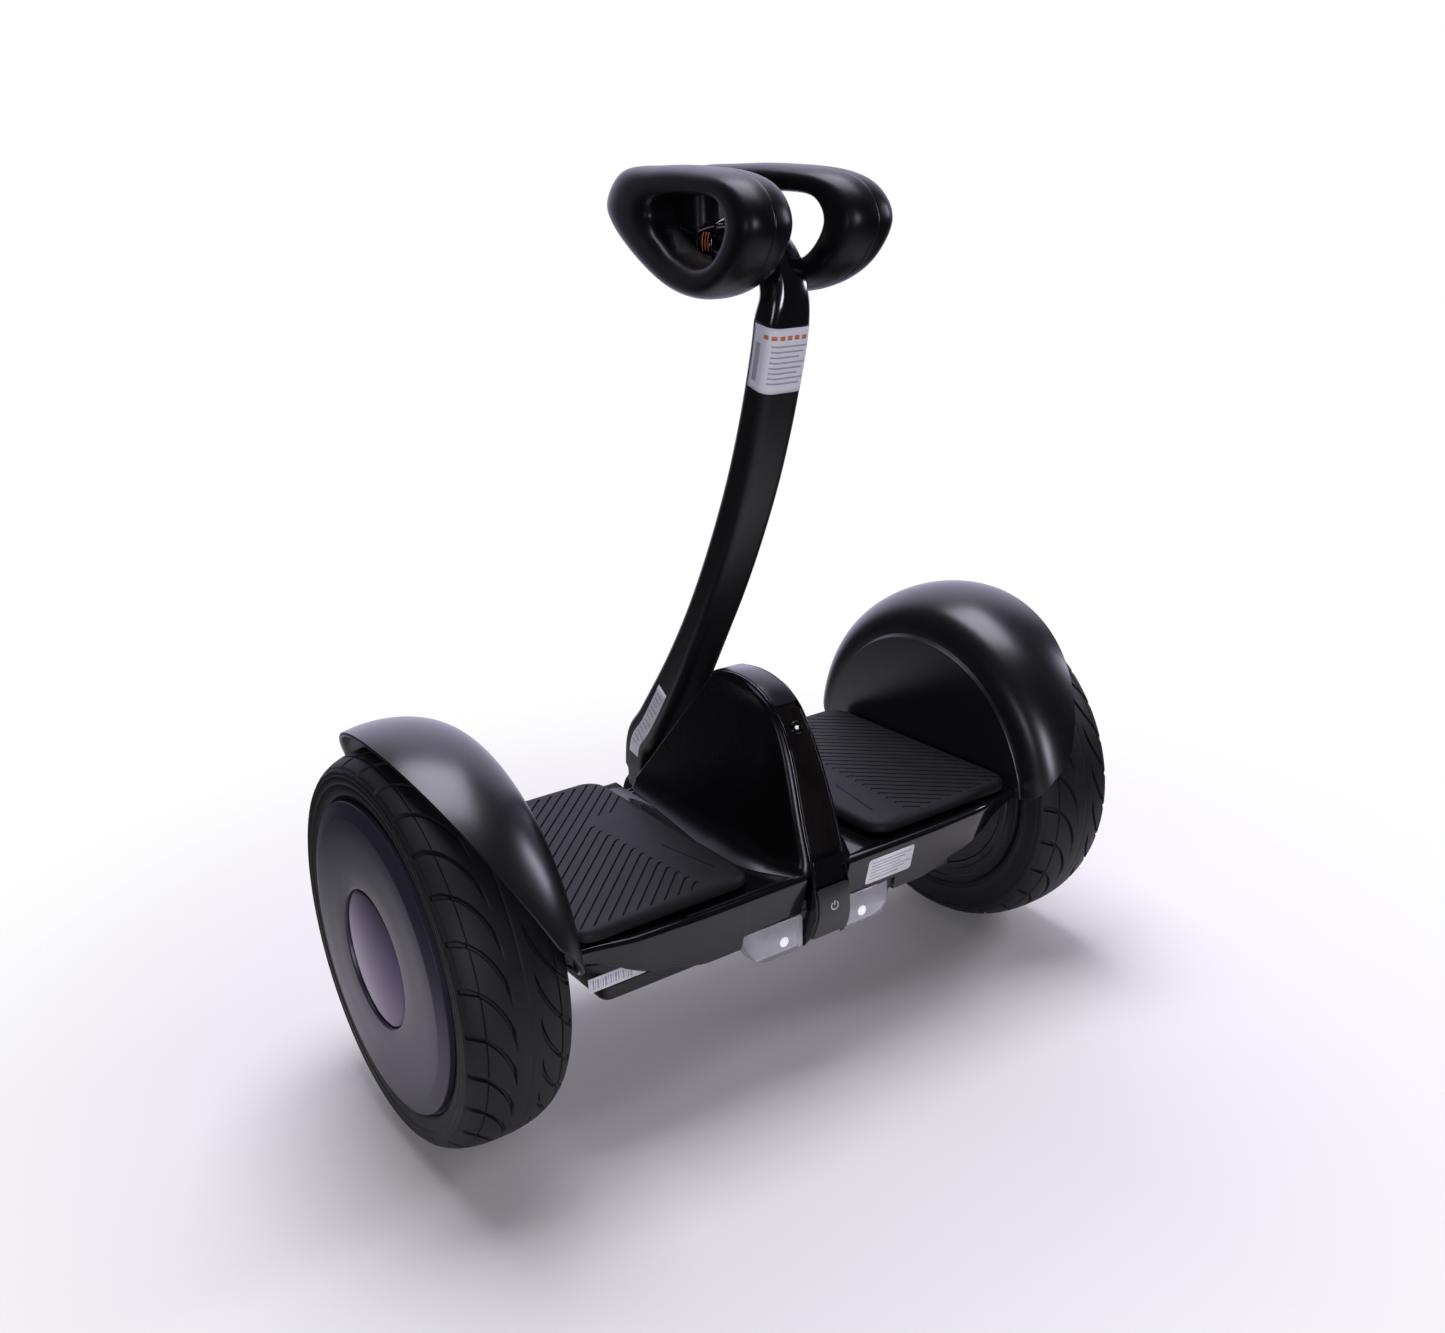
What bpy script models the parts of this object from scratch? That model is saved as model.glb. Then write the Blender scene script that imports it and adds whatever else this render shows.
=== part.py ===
"""Two-wheeled self-balancing transporter with a knee control bar.

Frame: +X is the vehicle's right, +Y is forward, +Z is up.  The origin is on the
ground under the middle of the wheel axle.  Sizes are in millimetres; solid()
turns them into metres.
"""

import math

import bmesh
import bpy
from mathutils import Vector

MM = 0.001
GAP = 0.3                    # clearance between neighbouring pieces

# ---------------------------------------------------------------- driving sizes
AXLE_HEIGHT = 130.0
TYRE_RADIUS = 130.0
TYRE_MIDDLE = 235.5          # distance of the tyre's middle plane from the centre
TYRE_HALF_WIDTH = 39.5       # of the curve that the crown follows
TYRE_WALL_INNER = 36.4       # the sidewalls cut that curve off
TYRE_WALL_OUTER = 34.0
TYRE_SECTION_DEPTH = 52.0
RIM_INNER = 199.0            # inboard face of the rim
RIM_OUTER = 266.0            # outboard face of the rim
RIM_FLANGE_RADIUS = 96.0
RIM_DRUM_RADIUS = 86.0
RIM_BORE_RADIUS = 80.0
AXLE_RADIUS = 8.0
AXLE_INNER_END = 148.0
BEARING_RADIUS = 16.0
WHEEL_SEGMENTS = 28
STATOR_RADIUS = 72.0
STATOR_INNER = 215.0
STATOR_OUTER = 249.0
HUB_DISC_RADIUS = 101.0
HUB_DISC_FACE = 274.0
HUB_DISC_EDGE = 270.3        # outboard end of the disc's rim, where its bevel starts
HUB_DISH_EDGE = 271.0
HUB_CAP_RADIUS = 44.6
HUB_CAP_CROWN = 275.0

FENDER_WALL = 190.0          # outboard face of the fender's inner wall
FENDER_THICKNESS = 2.5
FENDER_WALL_RADIUS = 109.0
FENDER_RADIUS = 144.5
FENDER_TIP_HEIGHT = 141.5
FENDER_STEPS = 26
FENDER_LIP_OFFSET = 189.0    # the lip lies in a plane that leans outwards
FENDER_LIP_SLOPE = 0.51

DECK_HALF_LENGTH = 186.0
DECK_TOP = 146.8
DECK_THICKNESS = 3.0
RIDGE_TOP = 148.6
FRONT_RIDGE = 103.0
FRONT_TUCK = 0.14            # how far the fascias lean inwards for each millimetre of height
REAR_TUCK = 0.24
NOTCH_FRONT = 89.0
NOTCH_FLOOR = 125.0
NOTCH_HALF_WIDTH = 33.0      # opening at the front that the steering foot swings in
BAND_SLOT_HALF_WIDTH = 18.2  # slot at the rear that the trim band passes through
BAND_SLOT_REAR = -101.5
LAMP_TOP = 117.0
LAMP_HALF_SPAN = 66.0
SHELL_WALL = 2.5
SHELL_TOP = 124.5
SHELL_FLOOR = 105.5
BAY_TOP = 118.5
CHASSIS_WALL = 3.5
CHASSIS_FLOOR = 125.0
CHASSIS_HALF_LENGTH = 180.0
CHASSIS_REAR = -80.0
CHASSIS_FRONT = 72.0

BATTERY_HALF_LENGTH = 154.5
BATTERY_HALF_WIDTH = 74.5
BATTERY_BOTTOM = 86.0
BATTERY_TOP = 116.5

MAT_INNER = 52.0
MAT_OUTER = 186.3
MAT_REAR = -103.0
MAT_FRONT = 99.0
MAT_BOTTOM = 150.4
MAT_TOP = 158.5
MAT_TRAVEL = 1.5
MAT_CORNER = 17.0

HUMP_BASE = 147.2

BAND_STEPS = 4               # curve points between neighbouring points of BAND_PATH
LENS_STEP = 26               # curve point under the indicator lens

PORT_X = 95.0                # charging port in the front fascia
PORT_Z = 127.0
CAP_HINGE_Z = 138.0

POST_HALF_WIDTH = 15.8
POST_HALF_DEPTH = 12.0       # grows towards the foot
POST_FOOT_DEPTH = 15.5
POST_CORNER = 8.0
POST_SOCKET_TOP = 153.0      # the post keeps its slim section inside the foot's socket
POST_FOOT_Y = 104.0
STEER_SHAFT_RADIUS = 6.0
STEER_BORE_RADIUS = 8.8
STEER_AXIS_HEIGHT = 131.0
NECK_RADIUS = 14.5
SPRING_TURNS = 3
SPRING_RADIUS = 8.6
SPRING_WIRE = 0.8

PAD_REAR_SPREAD = 36.8       # distance of each knee pad's middle from the centre at its rear
PAD_FRONT_SPREAD = 25.0      # and at its front, where the pads close in on the spine
PAD_REAR_THICKNESS = 18.5    # half thickness, rear and front
PAD_FRONT_THICKNESS = 13.0
PAD_REAR_Y = -105.0
PAD_FRONT_Y = 56.0

# Points (y, z) of curves seen from the side.
POST_PATH = [(104, 137), (104, 152), (98.5, 178), (80, 199), (49, 240), (22.8, 279),
             (-1.8, 319), (-23.4, 359), (-42.3, 399), (-57.8, 439), (-70.4, 479), (-75.4, 500)]
NECK_PATH = [(-75.6, 500.7), (-78.2, 513.5), (-75.5, 528), (-67, 538.5), (-54, 543.5), (-38, 545), (-26, 545)]
BAND_PATH = [(-1.5, 260.3), (-6.5, 262.2), (-12, 263.5), (-30, 265.4), (-48, 263.6), (-64, 257.5), (-77, 247),
             (-87, 230.5), (-95, 211), (-102, 190), (-107.5, 172), (-112.5, 156), (-116.5, 141),
             (-118.6, 128), (-118, 115), (-114, 103), (-107, 93)]
PAD_OUTER = [(70.5, 573), (62, 556.5), (27, 535), (-12, 519.5), (-48, 514.5), (-80, 519.5), (-106, 533.5),
             (-121, 556), (-112, 574.5), (-88, 585.5), (-44, 590.5), (0, 592), (46, 590.5)]
PAD_HOLE = [(6, 563), (1, 554.5), (-10, 547.5), (-24, 540), (-48, 534.5), (-68, 536.5), (-81, 544.5),
            (-88.5, 556), (-85.5, 566), (-74, 572), (-44, 574.5), (-14, 574), (1, 570)]


# ---------------------------------------------------------------- materials
def material(name, colour, roughness, metallic=0.0):
    made = bpy.data.materials.new(name)
    made.use_nodes = True
    shader = made.node_tree.nodes["Principled BSDF"]
    shader.inputs["Base Color"].default_value = (*colour, 1.0)
    shader.inputs["Roughness"].default_value = roughness
    shader.inputs["Metallic"].default_value = metallic
    return made


# ---------------------------------------------------------------- mesh helpers
def solid(name, verts, faces, look, pivot=(0, 0, 0), sharp=35):
    """A closed body from points in millimetres, with its origin at pivot."""
    centre = Vector(pivot)
    mesh = bpy.data.meshes.new(name)
    mesh.from_pydata([(Vector(v) - centre) * MM for v in verts], [], faces)
    work = bmesh.new()
    work.from_mesh(mesh)
    bmesh.ops.recalc_face_normals(work, faces=work.faces)
    work.to_mesh(mesh)
    work.free()
    mesh.materials.append(look)
    mesh.shade_smooth()
    mesh.set_sharp_from_angle(angle=math.radians(sharp))
    made = bpy.data.objects.new(name, mesh)
    made.location = centre * MM
    bpy.context.collection.objects.link(made)
    return made


def loft_faces(rings, closed):
    """Faces between rings of equal length, joined end to end or capped."""
    count = len(rings[0])
    total = len(rings)
    faces = []
    for i in range(total if closed else total - 1):
        a = i * count
        b = ((i + 1) % total) * count
        for j in range(count):
            k = (j + 1) % count
            faces.append((a + j, a + k, b + k, b + j))
    if not closed:
        faces.append(tuple(range(count)))
        faces.append(tuple(range((total - 1) * count, total * count)))
    return faces


def loft(name, rings, look, closed=False, pivot=(0, 0, 0), sharp=35):
    verts = [point for ring in rings for point in ring]
    return solid(name, verts, loft_faces(rings, closed), look, pivot, sharp)


def wheel_ring(x, radius, segments):
    """A circle about the wheel axle."""
    turns = [2 * math.pi * i / segments for i in range(segments)]
    return [(x, radius * math.cos(t), AXLE_HEIGHT + radius * math.sin(t)) for t in turns]


def turned(name, side, profile, look, closed, segments=WHEEL_SEGMENTS):
    """A lathe form about the axle; profile holds (distance from centre, radius)."""
    rings = [wheel_ring(side * x, radius, segments) for x, radius in profile]
    return loft(name, rings, look, closed, (side * TYRE_MIDDLE, 0, AXLE_HEIGHT))


def round_ring(centre, radius, axis, segments=16):
    """A circle about an axis ('X', 'Y' or 'Z') through centre."""
    x, y, z = centre
    ring = []
    for i in range(segments):
        a = radius * math.cos(2 * math.pi * i / segments)
        b = radius * math.sin(2 * math.pi * i / segments)
        if axis == "X":
            ring.append((x, y + a, z + b))
        elif axis == "Y":
            ring.append((x + a, y, z + b))
        else:
            ring.append((x + a, y + b, z))
    return ring


def rounded(x0, x1, y0, y1, radius, steps=4):
    """A rectangle's outline with round corners."""
    outline = []
    corners = [(x1 - radius, y1 - radius, 0), (x0 + radius, y1 - radius, 90),
               (x0 + radius, y0 + radius, 180), (x1 - radius, y0 + radius, 270)]
    for cx, cy, start in corners:
        for i in range(steps + 1):
            turn = math.radians(start + 90 * i / steps)
            outline.append((cx + radius * math.cos(turn), cy + radius * math.sin(turn)))
    return outline


def level(outline, z):
    return [(x, y, z) for x, y in outline]


def block(name, x, y, z, look, radius=2.0, edge=0.0, pivot=(0, 0, 0)):
    """A box with round upright edges and, if edge is given, bevelled top and bottom."""
    full = rounded(x[0], x[1], y[0], y[1], radius, 2)
    rings = [level(full, z[0]), level(full, z[1])]
    if edge:
        small = rounded(x[0] + edge, x[1] - edge, y[0] + edge, y[1] - edge, max(radius - edge, 0.5), 2)
        rings = [level(small, z[0]), level(full, z[0] + edge), level(full, z[1] - edge), level(small, z[1])]
    return loft(name, rings, look, pivot=pivot)


def smooth_curve(points, steps, closed=False):
    """Points along a Catmull-Rom curve through the given points."""
    count = len(points)
    curve = []
    for i in range(count if closed else count - 1):
        if closed:
            four = [points[(i + k) % count] for k in (-1, 0, 1, 2)]
        else:
            four = [points[min(max(i + k, 0), count - 1)] for k in (-1, 0, 1, 2)]
        a, b, c, d = (Vector(p) for p in four)
        for step in range(steps):
            t = step / steps
            point = 0.5 * (2 * b + (c - a) * t + (2 * a - 5 * b + 4 * c - d) * t * t
                           + (3 * b - a - 3 * c + d) * t * t * t)
            curve.append(tuple(point))
    if not closed:
        curve.append(tuple(points[-1]))
    return curve


def path_normals(path):
    """Unit normals (y, z) on the left of the direction of travel, turned outwards."""
    normals = []
    last = len(path) - 1
    for i in range(len(path)):
        a = path[max(i - 1, 0)]
        b = path[min(i + 1, last)]
        run = math.hypot(b[0] - a[0], b[1] - a[1])
        normals.append(((b[1] - a[1]) / run, -(b[0] - a[0]) / run))
    return normals


def swept(name, path, sections, look, pivot=(0, 0, 0), sharp=35):
    """Sections of (x, height above the path) carried along a side-view path."""
    rings = []
    for (y, z), (ny, nz), section in zip(path, path_normals(path), sections):
        rings.append([(x, y + ny * h, z + nz * h) for x, h in section])
    return loft(name, rings, look, pivot=pivot, sharp=sharp)


def cut(target, cutter):
    """Remove the cutter's shape from the target and hide the cutter."""
    cutter.hide_render = True
    cutter.display_type = "WIRE"
    change = target.modifiers.new("cut", "BOOLEAN")
    change.operation = "DIFFERENCE"
    change.object = cutter


def blend(value, low, high):
    """0 below low, 1 above high, and an even ease between."""
    t = min(max((value - low) / (high - low), 0.0), 1.0)
    return t * t * (3 - 2 * t)


# ---------------------------------------------------------------- wheels
def tyre_profile():
    """C-shaped tyre section that is open towards the rim."""
    middle_radius = TYRE_RADIUS - TYRE_SECTION_DEPTH / 2
    bead = RIM_INNER + 3 + GAP
    far_bead = RIM_OUTER - 3 - GAP
    toe = RIM_DRUM_RADIUS + GAP
    heel = RIM_FLANGE_RADIUS + GAP
    wall = 6.0
    profile = [(bead, toe), (bead, heel), (TYRE_MIDDLE - TYRE_WALL_INNER + 1, heel + 1.6),
               (TYRE_MIDDLE - TYRE_WALL_INNER, middle_radius + 3)]
    power = 2 / 2.5
    for turn in range(150, 29, -30):
        c = math.cos(math.radians(turn))
        s = math.sin(math.radians(turn))
        x = TYRE_MIDDLE + TYRE_HALF_WIDTH * math.copysign(abs(c) ** power, c)
        profile.append((x, middle_radius + TYRE_SECTION_DEPTH / 2 * s ** power))
    profile.append((TYRE_MIDDLE + TYRE_WALL_OUTER, middle_radius + 8))
    profile.append((RIM_OUTER + 0.6, HUB_DISC_RADIUS + 1.5))
    profile.append((RIM_OUTER + 0.6, heel))
    profile.append((far_bead, heel))
    profile.append((far_bead, toe))
    profile.append((far_bead - wall, toe))
    profile.append((far_bead - wall, heel + 3))
    profile.append((TYRE_MIDDLE + TYRE_WALL_OUTER - wall, middle_radius + 6))
    profile.append((TYRE_MIDDLE, TYRE_RADIUS - 7))
    profile.append((TYRE_MIDDLE - TYRE_WALL_INNER + wall, middle_radius + 6))
    profile.append((bead + wall, heel + 3))
    profile.append((bead + wall, toe))
    return profile


def rim_profile():
    """Rim and rotor drum in one casting, with a flange at each side."""
    inner = RIM_INNER
    outer = RIM_OUTER
    return [(inner, RIM_BORE_RADIUS), (inner, RIM_FLANGE_RADIUS), (inner + 3, RIM_FLANGE_RADIUS),
            (inner + 3, RIM_DRUM_RADIUS), (outer - 3, RIM_DRUM_RADIUS), (outer - 3, RIM_FLANGE_RADIUS),
            (outer, RIM_FLANGE_RADIUS), (outer, RIM_BORE_RADIUS)]


def motor_cover_profile(face, depth):
    """Side cover with a raised hub round its bearing; depth points into the motor."""
    edge = RIM_BORE_RADIUS - GAP
    seat = BEARING_RADIUS + GAP
    return [(face, edge), (face + depth, edge), (face + depth, 30), (face + 2 * depth, 26),
            (face + 2 * depth, seat), (face, seat)]


def stator(name, side, look):
    """Laminated core with its wound teeth."""
    teeth = 12
    rings = []
    for x in (STATOR_INNER, STATOR_OUTER):
        ring = []
        for i in range(teeth):
            for share, radius in ((0.0, STATOR_RADIUS), (0.55, STATOR_RADIUS), (0.65, 52), (0.9, 52)):
                turn = 2 * math.pi * (i + share) / teeth
                ring.append((side * x, radius * math.cos(turn), AXLE_HEIGHT + radius * math.sin(turn)))
        rings.append(ring)
    bore = []
    for x in (STATOR_OUTER, STATOR_INNER):
        bore.append(wheel_ring(side * x, AXLE_RADIUS + GAP, 4 * teeth))
    return loft(name, rings + bore, look, closed=True)


def axle_rings(side):
    """Round shaft whose inboard end has two flats for the clamp."""
    flat = 6.0
    rings = []
    for x, clamp in ((AXLE_INNER_END, True), (168, True), (171, False), (262.5, False)):
        ring = wheel_ring(side * x, AXLE_RADIUS, 16)
        if clamp:
            ring = [(px, y, min(max(z, AXLE_HEIGHT - flat), AXLE_HEIGHT + flat)) for px, y, z in ring]
        rings.append(ring)
    return rings


def make_wheel(label, side, looks):
    turned("tyre_" + label, side, tyre_profile(), looks["tyre"], True)
    turned("rim_" + label, side, rim_profile(), looks["rim"], True)
    turned("motor_cover_inner_" + label, side, motor_cover_profile(RIM_INNER + 1, 4),
           looks["motor_cover"], True)
    turned("motor_cover_outer_" + label, side, motor_cover_profile(RIM_OUTER - 2, -4),
           looks["motor_cover"], True)
    magnet = [(STATOR_INNER, 74), (STATOR_INNER, RIM_BORE_RADIUS - GAP),
              (STATOR_OUTER, RIM_BORE_RADIUS - GAP), (STATOR_OUTER, 74)]
    turned("rotor_magnets_" + label, side, magnet, looks["magnet"], True)
    for place, x in (("inner", RIM_INNER + 1), ("outer", RIM_OUTER - 10)):
        race = [(x, AXLE_RADIUS + GAP), (x, BEARING_RADIUS), (x + 8, BEARING_RADIUS), (x + 8, AXLE_RADIUS + GAP)]
        turned("bearing_" + place + "_" + label, side, race, looks["steel"], True, 16)
    back = RIM_OUTER + 1
    disc = [(back, HUB_CAP_RADIUS + GAP), (back, HUB_DISC_RADIUS), (HUB_DISC_EDGE, HUB_DISC_RADIUS),
            (HUB_DISC_FACE, 91), (HUB_DISC_FACE, 60), (HUB_DISH_EDGE, HUB_CAP_RADIUS + GAP)]
    turned("hub_disc_" + label, side, disc, looks["hub_disc"], True)
    dome = [(back, HUB_CAP_RADIUS), (back + 3.6, HUB_CAP_RADIUS), (back + 5.8, 37), (back + 7.3, 24),
            (HUB_CAP_CROWN, 8)]
    turned("hub_cap_" + label, side, dome, looks["hub_cap"], False)
    valve = [round_ring((side * x, 91, AXLE_HEIGHT), radius, "X", 10)
             for x, radius in ((193.2, 2.6), (195.5, 2.6), (195.6, 3.4), (RIM_INNER - GAP, 3.4))]
    loft("tyre_valve_" + label, valve, looks["valve"], pivot=(side * TYRE_MIDDLE, 0, AXLE_HEIGHT))
    stator("stator_" + label, side, looks["steel"])
    loft("axle_" + label, axle_rings(side), looks["steel"])


# ---------------------------------------------------------------- fenders
def fender_curve():
    """Outside of the fender's section: inner wall, round shoulder and crown."""
    curve = [(FENDER_WALL, FENDER_WALL_RADIUS)]
    reach = TYRE_MIDDLE - FENDER_WALL + 1
    rise = FENDER_RADIUS - FENDER_WALL_RADIUS
    for degrees in range(171, 27, -9):
        turn = math.radians(degrees)
        x = FENDER_WALL + reach * (1 + math.cos(turn))
        curve.append((x, FENDER_WALL_RADIUS + rise * math.sin(turn) ** 0.72))
    return curve


def clip_to_lip(curve, sine):
    """The curve as far as the leaning lip plane, at one angle round the wheel."""
    kept = [curve[0]]
    for (x0, r0), (x1, r1) in zip(curve, curve[1:]):
        over0 = x0 - FENDER_LIP_OFFSET - FENDER_LIP_SLOPE * r0 * sine
        over1 = x1 - FENDER_LIP_OFFSET - FENDER_LIP_SLOPE * r1 * sine
        if over1 > 0:
            share = -over0 / (over1 - over0)
            kept.append((x0 + share * (x1 - x0), r0 + share * (r1 - r0)))
            return kept
        kept.append((x1, r1))
    return kept


def resample(curve, count):
    """Evenly spaced points along a polyline."""
    lengths = [0.0]
    for a, b in zip(curve, curve[1:]):
        lengths.append(lengths[-1] + math.hypot(b[0] - a[0], b[1] - a[1]))
    points = []
    for i in range(count):
        goal = lengths[-1] * i / (count - 1)
        k = 0
        while k < len(lengths) - 2 and lengths[k + 1] < goal:
            k += 1
        share = (goal - lengths[k]) / max(lengths[k + 1] - lengths[k], 1e-9)
        a = curve[k]
        b = curve[k + 1]
        points.append((a[0] + share * (b[0] - a[0]), a[1] + share * (b[1] - a[1])))
    return points


def inner_skin(outside):
    """The shell's inner surface, one wall thickness in from its outer points."""
    inside = []
    last = len(outside) - 1
    for k in range(1, len(outside)):
        x, r = outside[k]
        a = outside[k - 1]
        b = outside[min(k + 1, last)]
        run = math.hypot(b[0] - a[0], b[1] - a[1])
        inside.append((x + (b[1] - a[1]) / run * FENDER_THICKNESS, r - (b[0] - a[0]) / run * FENDER_THICKNESS))
    return inside


def make_fender(label, side, look):
    """Wheel cover: a flat inner wall, then a round shell that ends at the lip."""
    curve = fender_curve()
    low = FENDER_TIP_HEIGHT - AXLE_HEIGHT
    first = math.degrees(math.asin(low / (FENDER_WALL_RADIUS - 2)))
    back = FENDER_WALL - FENDER_THICKNESS
    rings = []
    for i in range(FENDER_STEPS + 1):
        turn = math.radians(first + (180 - 2 * first) * i / FENDER_STEPS)
        sine = math.sin(turn)
        foot = min(low / sine, FENDER_WALL_RADIUS - 2)
        outside = resample(clip_to_lip(curve, sine), 8)
        section = [(back, foot), (back, FENDER_WALL_RADIUS + 1)]
        section += outside[1:]
        section += reversed(inner_skin(outside))
        section += [(FENDER_WALL, FENDER_WALL_RADIUS - 1.5), (FENDER_WALL, foot)]
        rings.append([(side * x, r * math.cos(turn), AXLE_HEIGHT + r * math.sin(turn)) for x, r in section])
    loft("fender_" + label, rings, look)


# ---------------------------------------------------------------- body shells
def rear_ridge(x):
    """How far back the deck's rear ridge stands at a distance x from the middle."""
    x = abs(x)
    if x < BAND_SLOT_HALF_WIDTH:
        return BAND_SLOT_REAR
    return -114.0 + 2.5 * blend(x, 90, 150) + 8.5 * blend(x, 140, DECK_HALF_LENGTH)


def fascia_bottom(x):
    """Height of the fascia's lower edge, which climbs towards the wheels."""
    x = abs(x)
    if x < LAMP_HALF_SPAN:
        return LAMP_TOP + GAP
    return 107.0 + 9.0 * blend(x, 90, 130) + 22.0 * blend(x, 125, DECK_HALF_LENGTH)


def front_ridge(x):
    if abs(x) < NOTCH_HALF_WIDTH:
        return NOTCH_FRONT
    return FRONT_RIDGE - 6.0 * blend(abs(x), 120, DECK_HALF_LENGTH)


def deck_section(x):
    """Side view of the deck cover at x: a channel that is open below."""
    back = rear_ridge(x)
    front = front_ridge(x)
    low = fascia_bottom(x)
    notched = abs(x) < NOTCH_HALF_WIDTH
    front_low = NOTCH_FLOOR if notched else low
    front_tuck = FRONT_TUCK * (RIDGE_TOP - front_low)
    tuck = REAR_TUCK * (RIDGE_TOP - low)
    thick = DECK_THICKNESS
    top = DECK_TOP
    front_top = top if notched else RIDGE_TOP
    back_top = top if abs(x) < BAND_SLOT_HALF_WIDTH else RIDGE_TOP
    return [(front - front_tuck, front_low), (front, front_top - 3), (front - 1.5, front_top),
            (front - 4, front_top), (front - 7, top), (back + 9, top), (back + 5, back_top),
            (back + 1.5, back_top), (back, back_top - 2.5), (back + tuck, low), (back + tuck + thick, low),
            (back + thick + 1.5, top - thick), (front - thick - 1.5, top - thick),
            (front - front_tuck - thick, front_low)]


def make_deck(look):
    stations = [-DECK_HALF_LENGTH, -180, -170, -155, -135, -115, -95, -80, -LAMP_HALF_SPAN - 0.3,
                -LAMP_HALF_SPAN + 0.3, -50, -NOTCH_HALF_WIDTH - 0.2, -NOTCH_HALF_WIDTH + 0.2,
                -BAND_SLOT_HALF_WIDTH - 0.2, -BAND_SLOT_HALF_WIDTH + 0.2]
    stations += [-x for x in reversed(stations)]
    rings = [[(x, y, z) for y, z in deck_section(x)] for x in stations]
    return loft("deck_cover", rings, look)


def shell_outline(grow):
    """Plan outline of the underbody, grown or shrunk by a few millimetres."""
    return rounded(-178 - grow, 178 + grow, -88 - grow, 82 + grow, 22 + grow, 5)


def shell_floor(x, base):
    """Underbody floor height, which climbs towards the wheels."""
    return base + 16.0 * blend(abs(x), 150, 184)


def make_lower_shell(look):
    """Underbody pan with a bay for the battery pack."""
    wall = SHELL_WALL
    bay = BATTERY_HALF_LENGTH + GAP
    bay_side = BATTERY_HALF_WIDTH + GAP
    outer = shell_outline(0)
    outer_back = shell_outline(-wall)
    bay_edge = rounded(-bay, bay, -bay_side, bay_side, 8, 5)
    bay_back = rounded(-bay - wall, bay + wall, -bay_side - wall, bay_side + wall, 8 + wall, 5)
    rings = [level(outer, SHELL_TOP),
             [(x, y, shell_floor(x, SHELL_FLOOR)) for x, y in outer],
             [(x, y, shell_floor(x, SHELL_FLOOR)) for x, y in bay_edge],
             level(bay_edge, BAY_TOP), level(bay_back, BAY_TOP),
             [(x, y, shell_floor(x, SHELL_FLOOR + wall)) for x, y in bay_back],
             [(x, y, shell_floor(x, SHELL_FLOOR + wall)) for x, y in outer_back],
             level(outer_back, SHELL_TOP)]
    return loft("lower_shell", rings, look, closed=True)


def make_battery(look):
    full = rounded(-BATTERY_HALF_LENGTH, BATTERY_HALF_LENGTH, -BATTERY_HALF_WIDTH, BATTERY_HALF_WIDTH, 8, 3)
    edge = 3.0
    small = rounded(-BATTERY_HALF_LENGTH + edge, BATTERY_HALF_LENGTH - edge,
                    -BATTERY_HALF_WIDTH + edge, BATTERY_HALF_WIDTH - edge, 5, 3)
    rings = [level(small, BATTERY_BOTTOM), level(full, BATTERY_BOTTOM + edge), level(full, BATTERY_TOP)]
    loft("battery_pack", rings, look)


def make_chassis(look):
    """Cast tray that carries the axles, the battery and the steering housing."""
    reach = CHASSIS_HALF_LENGTH
    wall = CHASSIS_WALL
    outer = rounded(-reach, reach, CHASSIS_REAR, CHASSIS_FRONT, 10, 3)
    inner = rounded(-reach + wall, reach - wall, CHASSIS_REAR + wall, CHASSIS_FRONT - wall, 10 - wall, 3)
    top = DECK_TOP - DECK_THICKNESS - GAP
    rings = [level(outer, top), level(outer, CHASSIS_FLOOR), level(inner, CHASSIS_FLOOR), level(inner, top)]
    return loft("chassis_frame", rings, look, closed=True)


def cut_axle_holes(shells, look):
    """Openings in the end walls that the axles pass through."""
    for side in (-1, 1):
        hole = [round_ring((side * x, 0, AXLE_HEIGHT), AXLE_RADIUS + GAP, "X", 16) for x in (168, 200)]
        cutter = loft("axle_hole_cutter", hole, look)
        for shell in shells:
            cut(shell, cutter)


def make_axle_clamp(label, side, look):
    """Bolted block round the flats of the axle."""
    near = []
    far = []
    for x, ring in ((AXLE_INNER_END + 2, near), (AXLE_INNER_END + 18, far)):
        outline = rounded(-22, 22, AXLE_HEIGHT - 11, AXLE_HEIGHT + 11, 4, 3)
        ring.append([(side * x, y, z) for y, z in outline])
        bore = wheel_ring(side * x, AXLE_RADIUS + GAP, 16)
        quarter = 2
        ring.append(bore[quarter:] + bore[:quarter])
    rings = [near[0], far[0], far[1], near[1]]
    loft("axle_clamp_" + label, rings, look, closed=True)


def hump_outline(z):
    """Plan outline of the centre hump at height z: a slim fin on a flared foot."""
    height = z - HUMP_BASE
    flare = math.exp(-height / 9.0)
    front = min(88.0, 92.0 - 0.81 * height)
    back = band_inside(z) + 0.5
    wide = 31.0 - 0.185 * height + 18.0 * flare
    narrow = 20.0 - 0.075 * height + 14.0 * flare
    middle = front - 0.42 * (front - back)
    outline = []
    count = 14
    for i in range(count):
        turn = 2 * math.pi * i / count
        c = math.cos(turn)
        s = math.sin(turn)
        if s >= 0:
            y = middle + (front - middle) * s ** 0.9
            x = wide * math.copysign(abs(c) ** 0.75, c)
        else:
            y = middle - (middle - back) * (-s) ** 0.8
            share = (-s) ** 2.2
            x = (wide * (1 - share) + narrow * share) * math.copysign(abs(c) ** 0.55, c)
        outline.append((x, y))
    return outline


def band_inside(z):
    """Rear edge that the hump keeps to, just inside the trim band."""
    clearance = 9.0
    path = smooth_curve(BAND_PATH, 3)
    rear = [p for p in path if p[0] < -30]
    if z >= rear[0][1]:
        return rear[0][0]
    for a, b in zip(rear, rear[1:]):
        if b[1] <= z <= a[1]:
            share = (a[1] - z) / (a[1] - b[1])
            return a[0] + share * (b[0] - a[0]) + clearance
    return rear[-1][0] + clearance


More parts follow.
